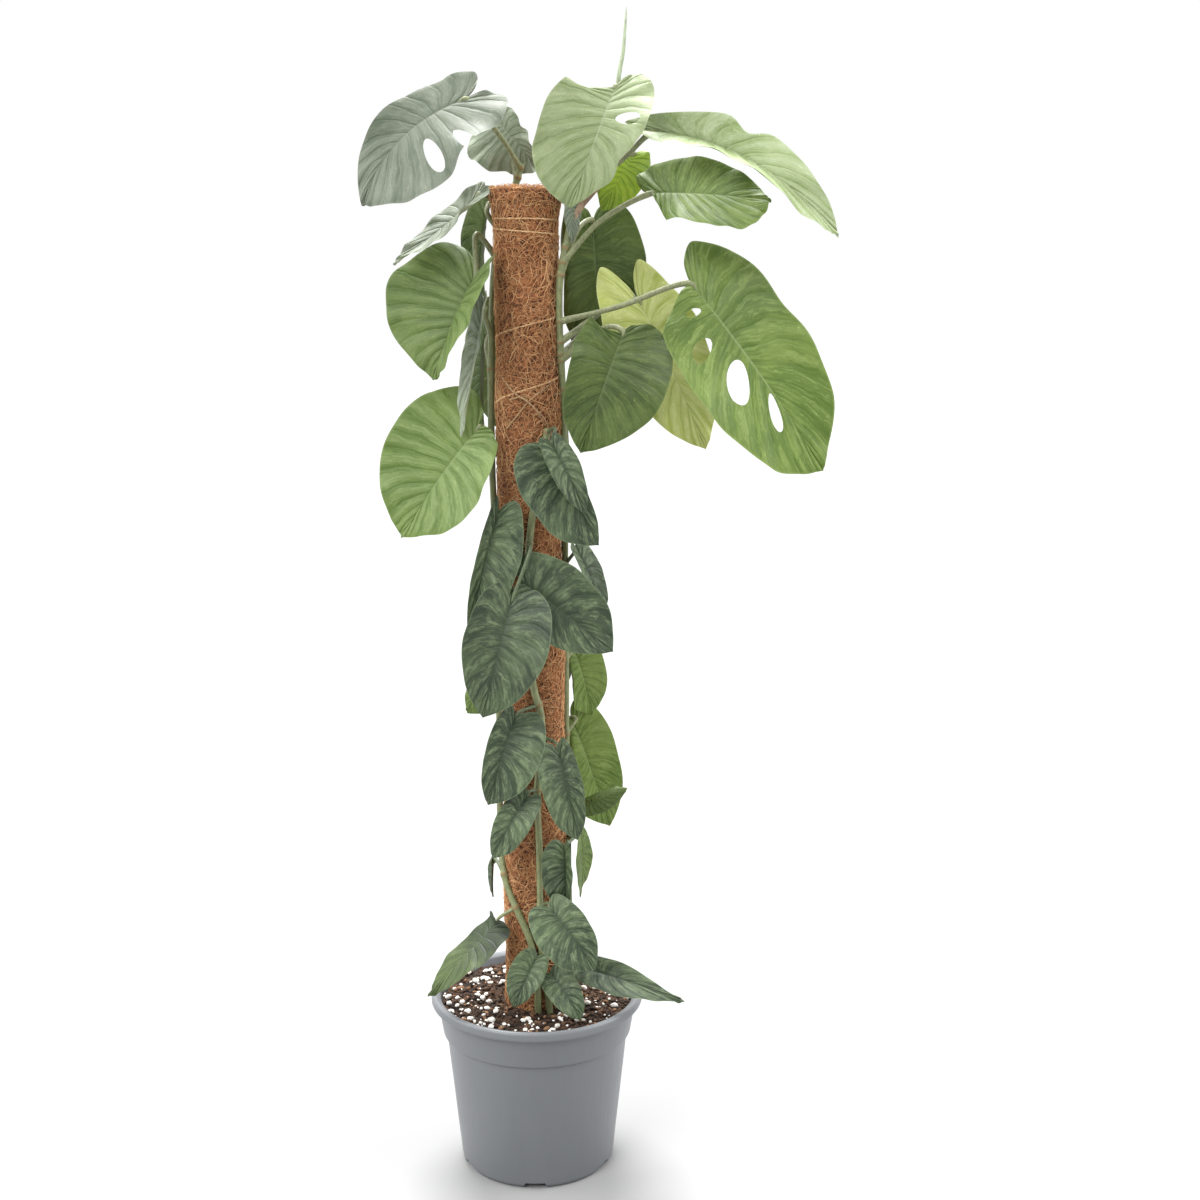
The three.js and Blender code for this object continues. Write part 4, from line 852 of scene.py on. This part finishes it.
def make_leaf(leaf, number):
    """The blade, and its stalk, which springs from the stem and ends in the blade's keel."""
    kin = leaf.name.split("_")[0]
    broad = "shingle" not in (kin, leaf.look) and leaf.length >= SMALL_LEAF
    ribs = RIBS["small" if leaf.finish == "silver" else "broad"]
    points, faces, nets = blade_points(leaf, *(FINE_NET if broad else COARSE_NET), ribs)
    notch, grip = leaf.bent([0, 0], [0, 0.07 * leaf.length])
    up = unit(np.cross(np.cross(grip - notch, leaf.face), grip - notch))
    root = vine_at(leaf.stem, leaf.at)
    route = smooth_route([root, leaf.via, notch - 0.6 * up, grip - 0.9 * up], 9)
    run = np.linspace(0, 1, len(route))
    thick = STALK_RADIUS[kin] * (1 + 0.35 * hill(run, 0, 0.1) + 0.18 * hill(run, 0.62, 0.05))
    stalk, stalk_faces = tube(route, thick * (1 - 0.8 * smooth_step(run, 0.68, 1)), STALK_SIDES)
    half = len(faces) // 2
    kinds = [0] * half + [1] * half + [2] * len(stalk_faces)
    faces += [[corner + len(points) for corner in face] for face in stalk_faces]
    nets = {title: np.vstack([net, np.zeros((len(stalk), 2))]) for title, net in nets.items()}
    # tone, going over to tip_tone towards the tip, is partly painted shade and painted light.
    to_tip = smooth_step(nets["flat"][:, 1] * 100, 0.2 * leaf.length, 0.6 * leaf.length)
    piece = save_mesh(
        leaf.name + "_blade", np.vstack([points, stalk]), faces, *BLADES[leaf.finish], kinds=kinds,
        nets=nets, crease=70, seed=1.7 * number, node=0,
        tone=leaf.tone + (leaf.tip_tone - leaf.tone) * to_tip)
    stand_for(piece, "leaf_" + leaf.look, leaf.name)


# Climbing stems, as height, azimuth and how far out of the stems' usual route

VINES = {
    "left": [(96, 4, 4), (150, 4, 3), (188, 2, 2), (215, -8, 0), (241, -30, 0), (264, -58, 0),
        (292, -84, 0), (430, -97, 0), (560, -92, 0), (640, -88, 2), (740, -98, 1),
        (812, -122, 0), (862, -160, 1), (884, -172, 1)],
    "front": [(96, 24, 4), (150, 22, 3), (200, 12, 0), (300, 10, 0), (350, 8, 0), (415, 17, 0),
        (445, 4, 0), (530, -4, 0), (590, 6, 0), (640, 24, 0), (664, 34, 1)],
    "right": [(96, 62, 6), (150, 66, 4), (230, 92, 0), (400, 104, 0), (560, 96, 0),
        (680, 84, 0), (745, 68, 0), (785, 66, 1), (815, 70, 6), (842, 76, 12), (866, 80, 22)],
    "back": [(96, 170, 4), (150, 168, 3), (220, 178, 0), (400, 186, 0), (560, 176, 0),
        (700, 184, 0), (770, 180, 0)],
}

vine_routes = {
    name: smooth_route([round_pole(z, azimuth, VINE_ROUTE + off) for z, azimuth, off in route], 16)
    for name, route in VINES.items()
}


def vine_at(name, z):
    """The point of a stem's centre line at a height."""
    route = vine_routes[name]
    return np.array([np.interp(z, route[:, 2], route[:, k]) for k in range(3)])


def make_vines():
    for name, route in vine_routes.items():
        fine = smooth_route(route[::2], 6)
        z = fine[:, 2]
        node = np.max([hill(z, leaf.at, 2.0) for leaf in LEAVES if leaf.stem == name], axis=0)
        radii = VINE_RADIUS * (0.94 + 0.04 * np.sin(z * 0.09)) + 0.75 * node
        points, faces = tube(fine, radii, VINE_SIDES)
        ring = np.concatenate([np.repeat(node, VINE_SIDES), [0, 0]])
        piece = save_mesh(f"vine_{name}_stem", points, faces, STEM, node=ring)
        stand_for(piece, "stem", f"vine_{name}")


# Pole


def coir_finish(name, dark, middle, light):
    f = Finish(name)
    here = f.place()
    strand = f.noise(here, 340, 6, 0.8)
    patch = f.noise(here, 45, 3)
    colour = f.mix(f.step(strand + (patch - 0.5) * 0.2, 0.41, 0.57), dark, middle)
    lighter = f.number("tone") + (patch - 0.5) * 0.5 + (strand - 0.5) * 0.6
    colour = f.mix(f.step(lighter, 0.35, 1.1), colour, light)
    return f.done(colour, 0.95, f.bump(strand, 0.0012))


def make_coir():
    """The mat's body, and the loose strands that cover it."""
    sides, levels = 112, 270
    heights = np.linspace(COIR_BOTTOM, POLE_TOP - 1.5, levels)
    turn = np.linspace(0, 360, sides, endpoint=False)
    z, azimuth = np.meshgrid(heights, turn, indexing="ij")
    wall = round_pole(z.ravel(), azimuth.ravel(), coir_radius(z.ravel()) - 0.7)
    rough = wander(wall, 0.22, 1) * 0.6 + wander(wall, 0.6, 2) * 0.6
    wall += unit(wall - round_pole(wall[:, 2], 0, 0)) * rough[:, None]
    bore = [(STAKE_RADIUS + 0.5, COIR_BOTTOM), (STAKE_RADIUS + 0.5, POLE_TOP - 4),
            (STAKE_RADIUS + 2.5, POLE_TOP - 0.5), (STAKE_RADIUS + 7, POLE_TOP + 0.2),
            (COIR_RADIUS - 3, POLE_TOP)]
    rings = [round_pole(np.full(sides, level), turn, radius) for radius, level in bore]
    rings[3] += np.array([0, 0, 1]) * wander(rings[3], 0.5, 3)[:, None]
    grid = np.arange((levels + len(rings)) * sides).reshape(-1, sides)
    loop = np.vstack([grid[:levels], grid[levels:][::-1], grid[:1]])
    finish = coir_finish("coir_mat", (64, 37, 22), (164, 108, 68), (208, 150, 98))
    mat = save_mesh("coir_mat", np.vstack([wall, *rings]), bands(loop), finish, tone=0)
    stand_for(mat, "coir", "coir_wrap")
    strands = coir_finish("coir_strand", (172, 115, 72), (214, 156, 106), (238, 194, 142))
    stand_for(make_strands("coir_strands_low", SOIL_TOP - 4, 500, 3, strands), "coir")
    stand_for(make_strands("coir_strands_high", 500, POLE_TOP - 2, 4, strands), "coir")
    stand_for(make_frayed_edge(strands), "coir")


def strand_mesh(name, routes, radii, tones, finish):
    """Three-sided strands: routes is strands by points by 3."""
    count, steps, _ = routes.shape
    ahead = unit(np.gradient(routes, axis=1))
    out = unit((routes - round_pole(routes[..., 2], 0, 0)) * [1, 1, 0])
    beside = unit(np.cross(ahead, out))
    out = np.cross(beside, ahead)
    turn = (math.pi / 2 + np.arange(3) * FULL_TURN / 3)[:, None]
    rings = routes[:, :, None] + radii[..., None, None] * (
        np.cos(turn) * beside[:, :, None] + np.sin(turn) * out[:, :, None])
    grid = np.arange(count * steps * 3).reshape(count, steps, 3)
    caps = np.concatenate([grid[:, 0, ::-1], grid[:, -1]]).tolist()
    tones = np.repeat(tones, steps * 3)
    return save_mesh(name, rings.reshape(-1, 3), bands(grid) + caps, finish, tone=tones)


def make_strands(name, low, high, seed, finish):
    """Strands that wander over the mat: mostly short ones, and some long."""
    draw = np.random.default_rng(seed)
    count, taper = COIR_STRANDS, np.array([0.6, 1, 1, 1, 0.5])
    steps = len(taper)
    long = draw.uniform(0, 1, count) < LONG_STRANDS
    length = np.where(long, draw.uniform(22, 44, count), draw.uniform(6, 20, count))
    heading = draw.uniform(0, FULL_TURN, count)
    bend = draw.normal(0, 1.9, count) / length
    z, azimuth = draw.uniform(low, high, count), draw.uniform(0, 360, count)
    lift, depth = draw.uniform(0.1, 1.3, count), draw.uniform(-0.55, 0.45, count)
    routes = np.empty((count, steps, 3))
    step = length / (steps - 1)
    for i in range(steps):
        level = np.clip(z, SOIL_TOP - 6, POLE_TOP - 0.5)
        radius = coir_radius(level) + depth + lift * math.sin(math.pi * i / (steps - 1))
        routes[:, i] = round_pole(level, azimuth, radius)
        z = z + step * np.sin(heading)
        azimuth = azimuth + np.degrees(step * np.cos(heading) / COIR_RADIUS)
        heading = heading + bend * step + draw.normal(0, 0.28, count)
    thick = draw.uniform(0.17, 0.38, count)[:, None] * taper
    return strand_mesh(name, routes, thick, draw.uniform(0, 1, count), finish)


def make_frayed_edge(finish):
    """Strand ends that stand out of the mat's top."""
    draw = np.random.default_rng(9)
    count, taper = TOP_STRANDS, np.array([1, 1, 1, 0.9, 0.4])
    steps = len(taper)
    azimuth = draw.uniform(0, 360, count)
    radius = draw.uniform(STAKE_RADIUS + 2, COIR_RADIUS + 2.4, count)
    spin, climb = draw.normal(0, 14, count), draw.uniform(-1.5, 3.2, count)
    outward = draw.normal(1.0, 2.5, count)
    routes = np.empty((count, steps, 3))
    for i in range(steps):
        w = i / (steps - 1)
        level = POLE_TOP - 3 + (2.5 + climb) * math.sin(w * 2.2)
        reach = np.clip(radius + outward * w, STAKE_RADIUS + 1, COIR_RADIUS + 3.2)
        routes[:, i] = round_pole(level, azimuth + spin * w, reach)
    thick = draw.uniform(0.12, 0.26, count)[:, None] * taper
    return strand_mesh("coir_top_edge", routes, thick, draw.uniform(0, 1, count), finish)


def make_stake():
    profile = [(0, STAKE_BOTTOM), (STAKE_RADIUS, STAKE_BOTTOM), (STAKE_RADIUS, STAKE_TOP),
               (0, STAKE_TOP)]
    points, faces = lathe(rounded(profile, 0.8), 48)
    points[:, 0] += pole_x(points[:, 2])
    f = Finish("stake_wood")
    x, y, _ = f.parts(f.place())
    from_middle = (x * x + y * y) ** 0.5
    grain = f.noise(f.place(8, 0.5), 60, 4)
    ring = f.math("SINE", (from_middle + grain * 0.002) * 3800) * 0.5 + 0.5
    colour = f.mix(ring * 0.5 + grain * 0.4, (196, 160, 112), (150, 112, 70))
    wood = f.done(colour, 0.75 + grain * 0.1, f.bump(ring + grain, 0.0002))
    stand_for(save_mesh("stake", points, faces, wood), "stake_wood", "pole_stake")


# Twine, as height and azimuth, and roots

TWINES = {
    "twine_top": [(838, -170), (835, 0), (832, 180), (828, 270), (822, 450), (820, 540)],
    "twine_lower": [(772, 200), (757, 80), (739, -90), (722, -200), (706, -295), (684, -440),
        (668, -540)],
}


def plant_fibre(name, base, light):
    f = Finish(name)
    streak = f.noise(f.place(), 700, 4, 0.7)
    return f.done(f.mix(f.step(streak, 0.35, 0.7), base, light), 0.85, f.bump(streak, 0.0003))


def make_twines():
    """Two plies that turn round each other and lie on the mat."""
    finish = plant_fibre("twine_fibre", (172, 132, 90), (226, 194, 150))
    for name, route in TWINES.items():
        heights, azimuths = np.array(route, float).T
        at = np.linspace(0, len(route) - 1, int(abs(azimuths[-1] - azimuths[0]) / 3))
        z, azimuth = (np.interp(at, np.arange(len(route)), values) for values in (heights, azimuths))
        z = z + 0.5 * np.sin(azimuth * 0.031 + len(route))
        middle = round_pole(z, azimuth, coir_radius(z) + 0.55)
        ahead = unit(np.gradient(middle, axis=0))
        out = unit(middle - round_pole(z, azimuth, 1))
        beside = np.cross(ahead, out)
        cord = Gathered()
        for ply in range(2):
            turn = (np.arange(len(middle)) * 0.75 + ply * math.pi)[:, None]
            offset = TWINE_PLY_OFFSET * (np.cos(turn) * out + np.sin(turn) * beside)
            cord.add(*tube(middle + offset, TWINE_PLY_RADIUS, 7))
        stand_for(cord.save(name + "_cord", finish), "twine", name)


# Roots across the front of the mat, as height, azimuth and lift
LONG_ROOTS = [
    [(706, -48, 0.8), (694, -22, 1.3), (686, 2, 1.6), (672, 30, 1.2), (650, 52, 0.9)],
    [(664, -38, 0.7), (674, -18, 1.2), (686, 2, 1.0), (696, 28, 1.1), (702, 50, 0.6)],
    [(688, -30, 0.7), (690, -8, 1.3), (680, 14, 1.3), (662, 38, 1.0)],
]


def make_roots():
    """Thin roots that leave the stems at their nodes and hold on to the coir."""
    draw = random.Random(31)
    roots = Gathered()
    for leaf in LEAVES:
        start = vine_at(leaf.stem, leaf.at)
        azimuth = math.degrees(math.atan2(start[0] - pole_x(start[2]), -start[1]))
        for _ in range(3):
            side = draw.choice((-1, 1))
            reach, drop = draw.uniform(14, 44), draw.uniform(-16, 8)
            level = start[2] + draw.uniform(-3, 1)
            route = [round_pole(level, azimuth, coir_radius(level) + 3.4)]
            for w in (i / 6 for i in range(1, 7)):
                level = start[2] + drop * w + 2.5 * math.sin(4 * w + leaf.at)
                if level > POLE_TOP - 4 or level < SOIL_TOP + 2:
                    break
                around = azimuth + side * reach * w**0.8
                route.append(round_pole(level, around, coir_radius(level) + 0.7 - 0.8 * w))
            if len(route) > 3:
                path = smooth_route(route, 3)
                roots.add(*tube(path, np.linspace(0.5, 0.16, len(path)), 5))
    for route in LONG_ROOTS:
        path = smooth_route([round_pole(z, a, coir_radius(z) + lift) for z, a, lift in route], 8)
        roots.add(*tube(path, np.linspace(0.75, 0.35, len(path)), 6))
    skin = plant_fibre("root_skin", (136, 106, 72), (190, 160, 120))
    stand_for(roots.save("aerial_roots", skin), "stem")


# Potting mix


def pot_wall(z):
    return BASE_RADIUS + (COLLAR_BOTTOM_RADIUS - COLLAR_STEP - BASE_RADIUS) * z / COLLAR_BOTTOM


def pot_inside(z):
    if z < COLLAR_BOTTOM:
        return pot_wall(z) - POT_WALL
    up = (z - COLLAR_BOTTOM) / (POT_HEIGHT - COLLAR_BOTTOM)
    low = pot_wall(COLLAR_BOTTOM)
    return low - POT_WALL + up * (COLLAR_TOP_RADIUS - low + 0.6)


def soil_height(x, y):
    rough = np.sin(x * 0.21 + 1) * np.cos(y * 0.19) + 0.6 * np.sin(x * 0.07 - y * 0.11)
    return SOIL_TOP + 1.1 * rough


def lump(size, squash, draw, fine=1):
    """A rough grain: points round the origin, and faces."""
    shape = bmesh.new()
    bmesh.ops.create_icosphere(shape, subdivisions=fine, radius=1)
    points = np.array([v.co[:] for v in shape.verts])
    faces = [[v.index for v in face.verts] for face in shape.faces]
    shape.free()
    seed = draw.uniform(0, 100)
    points *= (1 + 0.42 * wander(points, 1.3, seed))[:, None]
    points *= np.array(squash) * size
    return turned(points, draw.uniform(0, FULL_TURN), draw.uniform(-0.6, 0.6)), faces


def mix_place(draw, inner=31, edge=1.0):
    """A place on the mix, from a distance out of the middle to one short of the pot."""
    azimuth = draw.uniform(0, FULL_TURN)
    outer = pot_inside(SOIL_TOP) - edge
    r = math.sqrt(draw.uniform(inner**2, outer**2))
    x, y = r * math.sin(azimuth), -r * math.cos(azimuth)
    return np.array([x, y, float(soil_height(x, y))])


def make_soil(draw):
    """The body of the mix with crumbs on its top."""
    outer = pot_inside(SOIL_TOP) - 0.5
    rings, sides = 48, 200
    turn = np.linspace(0, FULL_TURN, sides, endpoint=False)
    r, a = np.meshgrid(np.linspace(SOIL_BORE, outer, rings), turn, indexing="ij")
    top = np.stack([r * np.sin(a), -r * np.cos(a), np.zeros_like(r)], -1).reshape(-1, 3)
    clods = wander(top, 0.16, 4) * 1.6 + wander(top, 0.42, 5) * 1.1 + wander(top, 0.9, 6) * 0.5
    top[:, 2] = soil_height(top[:, 0], top[:, 1]) + clods - 0.8
    wall = [(outer, SOIL_TOP - 6), (pot_inside(COLLAR_BOTTOM) - 0.5, COLLAR_BOTTOM),
            (pot_inside(9) - 0.5, 9), (pot_inside(9) - 3, FLOOR_TOP + 0.4), (14, FLOOR_TOP + 0.4),
            (14, 60), (SOIL_BORE, SOIL_TOP - 10)]
    lower = [np.stack([q * np.sin(turn), -q * np.cos(turn), np.full(sides, h)], -1) for q, h in wall]
    points = np.vstack([top, *lower])
    grid = np.arange(len(points)).reshape(-1, sides)
    f = Finish("potting_mix")
    here = f.place()
    crumb = f.noise(here, 420, 5, 0.75)
    damp = f.noise(here, 60, 3)
    colour = f.mix(f.step(crumb + (damp - 0.5) * 0.5, 0.35, 0.7), (22, 14, 10), (92, 66, 46))
    dark = f.done(colour, 0.92 + damp * 0.05, f.bump(crumb, 0.0015))
    soil = Gathered()
    soil.add(points, bands(np.vstack([grid, grid[:1]])))
    for _ in range(CRUMBS):
        points, faces = lump(draw.uniform(0.8, 3.0), (1, 0.8, 0.6), draw)
        soil.add(points + mix_place(draw) + [0, 0, draw.uniform(-0.4, 0.9)], faces)
    stand_for(soil.save("potting_mix", dark), "potting_mix", "soil")


def make_perlite(draw):
    f = Finish("perlite", Subsurface_Weight=0.15, Subsurface_Radius=(0.002, 0.002, 0.002))
    here = f.place()
    pit = f.noise(here, 1400, 4, 0.6)
    stain = f.step(f.noise(here, 90, 3) + (pit - 0.5) * 0.4, 0.5, 0.8) * 0.5
    white = f.done(f.mix(stain, (238, 236, 230), (196, 182, 160)), 0.8, f.bump(pit, 0.0006))
    # Grains stay 42 mm out from the middle, so the mix round the pole is darker: partly where the
    # grains lie, partly painted shade under the leaves.
    grains = Gathered()
    for _ in range(PERLITE_GRAINS):
        size = 0.8 + 2.0 * draw.random() ** 2
        points, faces = lump(size, (1.25, 0.85, 0.8), draw, 2)
        grains.add(points + mix_place(draw, 42) + [0, 0, 0.6 + 0.35 * size], faces)
    stand_for(grains.save("perlite_grains", white), "potting_mix")


def make_bark(draw):
    f = Finish("bark")
    grain = f.noise(f.place(), 300, 5, 0.7)
    colour = f.mix(f.step(grain, 0.35, 0.65), (70, 47, 32), (118, 84, 56))
    brown = f.done(f.mix(f.number("tone"), colour, (158, 118, 82)), 0.85, f.bump(grain, 0.0008))
    chips = Gathered()
    for _ in range(BARK_CHIPS):
        size = draw.uniform(1.6, 4.2)
        points, faces = lump(size, (1, draw.uniform(0.35, 0.6), 0.28), draw, 2)
        chips.add(points + mix_place(draw, 33, 4) + [0, 0, 0.9], faces, tone=draw.uniform(0, 0.6))
    stand_for(chips.save("bark_chips", brown), "potting_mix")


# Pot


def make_pot():
    lip = POT_HEIGHT - LIP_HEIGHT
    foot = BASE_RADIUS - 2.5
    profile = rounded([
        (0, 0), (CENTRE_PAD_RADIUS, 0), (CENTRE_PAD_RADIUS + 1.5, FLOOR_UNDERSIDE),
        (foot - 6, FLOOR_UNDERSIDE), (foot - 3.5, 0), (foot, 0), (BASE_RADIUS + 0.4, 3.5),
        (pot_wall(COLLAR_BOTTOM - 1.2), COLLAR_BOTTOM - 1.2),
        (COLLAR_BOTTOM_RADIUS, COLLAR_BOTTOM + 0.8), (COLLAR_TOP_RADIUS, lip - 1.2),
        (RIM_RADIUS - 1.0, lip - 0.2), (RIM_RADIUS, lip + 1.4), (RIM_RADIUS - 0.1, POT_HEIGHT - 2),
        (RIM_RADIUS - 1.6, POT_HEIGHT), (RIM_RADIUS - 4, POT_HEIGHT),
        (pot_inside(POT_HEIGHT - 1.4), POT_HEIGHT - 2.4), (pot_inside(COLLAR_BOTTOM), COLLAR_BOTTOM),
        (pot_inside(FLOOR_TOP + 1.5), FLOOR_TOP + 1.5), (pot_inside(FLOOR_TOP) - 2, FLOOR_TOP),
        (0, FLOOR_TOP),
    ], POT_ROUNDING)
    f = Finish("pot_plastic", Specular_IOR_Level=0.45)
    here = f.place()
    grain = f.noise(here, 1500, 2, 0.5)
    cloud = f.noise(here, 14, 3)
    drag = f.noise(f.place(4, 0.6), 40, 4)
    dust = f.step(f.noise(here, 520, 3, 0.7), 0.68, 0.8) * 0.35
    colour = f.mix(cloud * 0.6 + drag * 0.4, (99, 102, 105), (107, 110, 113))
    colour = f.mix(dust, colour, (168, 166, 160))
    rough = 0.38 + (cloud - 0.5) * 0.1 + (drag - 0.5) * 0.12
    grey = f.done(colour, rough, f.bump(grain, 0.00006, f.bump(drag, 0.0002)))
    pot = save_mesh("nursery_pot", *lathe(profile, POT_SIDES), grey)
    hole, hole_faces = lathe([(0, -8), (DRAIN_HOLE_RADIUS, -8), (DRAIN_HOLE_RADIUS, 8), (0, 8)], 28)
    for i in range(DRAIN_HOLES):
        azimuth = (i + 0.5) * FULL_TURN / DRAIN_HOLES
        cut(pot, hole + turned(np.array([DRAIN_HOLE_CIRCLE, 0, FLOOR_TOP]), azimuth), hole_faces)
    wide, narrow = NOTCH_WIDTH / 2, NOTCH_WIDTH / 2 - NOTCH_TAPER
    outline = [(-wide, -1), (wide, -1), (narrow, NOTCH_HEIGHT), (-narrow, NOTCH_HEIGHT)]
    block = np.array([(x, y, z) for y in (-BASE_RADIUS + 9, -BASE_RADIUS - 1.5) for x, z in outline])
    sides = [[0, 1, 2, 3], [7, 6, 5, 4]]
    sides += [[k, k + 4, (k + 1) % 4 + 4, (k + 1) % 4] for k in range(4)]
    for i in range(NOTCHES):
        cut(pot, turned(block, i * FULL_TURN / NOTCHES), sides)
    for polygon in pot.data.polygons:
        polygon.use_smooth = True
    edges = pot.modifiers.new("crisp", "EDGE_SPLIT")
    edges.split_angle = math.radians(40)
    apply_modifiers(pot)
    stand_for(pot, "pot", "pot")


def cut(piece, points, faces):
    tool = save_mesh("cutter", points, faces, smooth=False)
    check = bmesh.new()
    check.from_mesh(tool.data)
    bmesh.ops.recalc_face_normals(check, faces=check.faces)
    check.to_mesh(tool.data)
    check.free()
    modifier = piece.modifiers.new("cut", "BOOLEAN")
    modifier.operation = "DIFFERENCE"
    modifier.object = tool
    apply_modifiers(piece)
    bpy.data.objects.remove(tool)


def apply_modifiers(piece):
    graph = bpy.context.evaluated_depsgraph_get()
    shape = bpy.data.meshes.new_from_object(piece.evaluated_get(graph))
    piece.modifiers.clear()
    piece.data = shape


# New leaf and its sheath

NEW_LEAF_ROUTE = [(71.5, -24, 930), (72, -25, 945), (75.5, -26, 965), (77, -26, 982), (78, -26, 999)]


def make_new_leaf():
    route = smooth_route(NEW_LEAF_ROUTE, 10)
    run = np.linspace(0, 1, len(route))
    radii = np.interp(run, [0, 0.12, 0.5, 0.85, 1], [1.9, 2.0, 1.5, 0.9, 0.3])
    finish = stalk_finish("new_leaf_skin", (170, 184, 150), (196, 204, 176), 0.4)
    piece = save_mesh("new_leaf_roll", *tube(route, radii, 14), finish, node=0)
    stand_for(piece, "leaf_pale", "new_leaf")


def make_sheath():
    """The dry sheath that a past leaf left round the top of the right stem."""
    draw = random.Random(12)
    heights, across = np.linspace(SHEATH_BOTTOM, SHEATH_TOP, 15), 9
    points = []
    for i, z in enumerate(heights):
        w = i / (len(heights) - 1)
        x, y, _ = vine_at("right", min(z, vine_routes["right"][-1, 2]))
        open_way = 2.6 * (0.35 + 0.65 * math.sin(math.pi * min(1, w * 1.15)))
        for shell in (0, 0.5):
            for k in range(across):
                a = -0.5 + (k / (across - 1) - 0.5) * open_way + 0.06 * draw.uniform(-1, 1)
                r = VINE_RADIUS + 0.9 + 3.2 * w**2 + 0.5 * math.sin(k * 1.9 + i) * w + shell
                points.append([x + r * math.cos(a) + 10 * w**2, y + r * math.sin(a), z])
    grid = np.arange(len(points)).reshape(len(heights), -1)
    faces = bands(np.hstack([grid[:, :across], grid[:, :across - 1:-1]]))
    last = int(grid[-1, 0])
    for k in range(across - 1):
        faces.append([k, across + k, across + k + 1, k + 1])
        faces.append([last + k, last + k + 1, last + across + k + 1, last + across + k])
    f = Finish("dry_sheath")
    grain = f.noise(f.place(5, 0.7), 260, 4, 0.65)
    colour = f.mix(f.step(grain, 0.35, 0.65), (96, 74, 58), (148, 122, 100))
    colour = f.mix(f.step(f.noise(f.place(), 110, 3), 0.52, 0.7) * 0.6, colour, (176, 152, 128))
    paper = f.done(colour, 0.75, f.bump(grain, 0.0005))
    stand_for(save_mesh("leaf_sheath", points, faces, paper, crease=60), "stem")


# Picture


def make_floor():
    half = 40 / MM
    paper = Finish("studio_floor", Specular_IOR_Level=0.0).done((151, 151, 151), 1.0)
    corners = [(-half, -half, 0), (half, -half, 0), (half, half, 0), (-half, half, 0)]
    save_mesh("studio_floor", corners, [[0, 1, 2, 3]], paper, smooth=False)


def soft_light(name, place, strength, spread):
    """Wide even light from a direction."""
    lamp = bpy.data.lights.new(name, "SUN")
    lamp.energy, lamp.angle = strength, math.radians(spread)
    holder = bpy.data.objects.new(name, lamp)
    holder.rotation_euler = (-Vector(place)).to_track_quat("-Z", "Y").to_euler()
    bpy.context.scene.collection.objects.link(holder)


def make_studio():
    make_floor()
    soft_light("top_light", (-0.08, 0.45, 1), 5.8, 30)
    soft_light("front_light", (-0.7, -1, 1.1), 1.8, 30)
    soft_light("left_light", (-1.3, 0.1, 0.9), 1.6, 45)
    soft_light("right_light", (1.2, 0, 0.9), 2.1, 45)
    world = bpy.data.worlds.new("studio_air")
    world.use_nodes = True
    air = world.node_tree.nodes["Background"].inputs
    air["Color"].default_value, air["Strength"].default_value = (1, 1, 1, 1), 1.0
    scene = bpy.context.scene
    scene.world = world
    scene.view_settings.view_transform = "Standard"
    lens = bpy.data.cameras.new("camera")
    lens.lens, lens.sensor_width = 48, 36
    camera = bpy.data.objects.new("camera", lens)
    camera.location = (0.057, -1.365, 0.755)
    camera.rotation_euler = (math.radians(80), 0, 0)
    scene.collection.objects.link(camera)
    scene.camera = camera


make_studio()
make_pot()
mix_draw = random.Random(5)
for make in (make_soil, make_perlite, make_bark):
    make(mix_draw)
make_stake()
make_coir()
make_twines()
make_vines()
make_roots()
for number, leaf in enumerate(LEAVES):
    make_leaf(leaf, number)
make_new_leaf()
make_sheath()
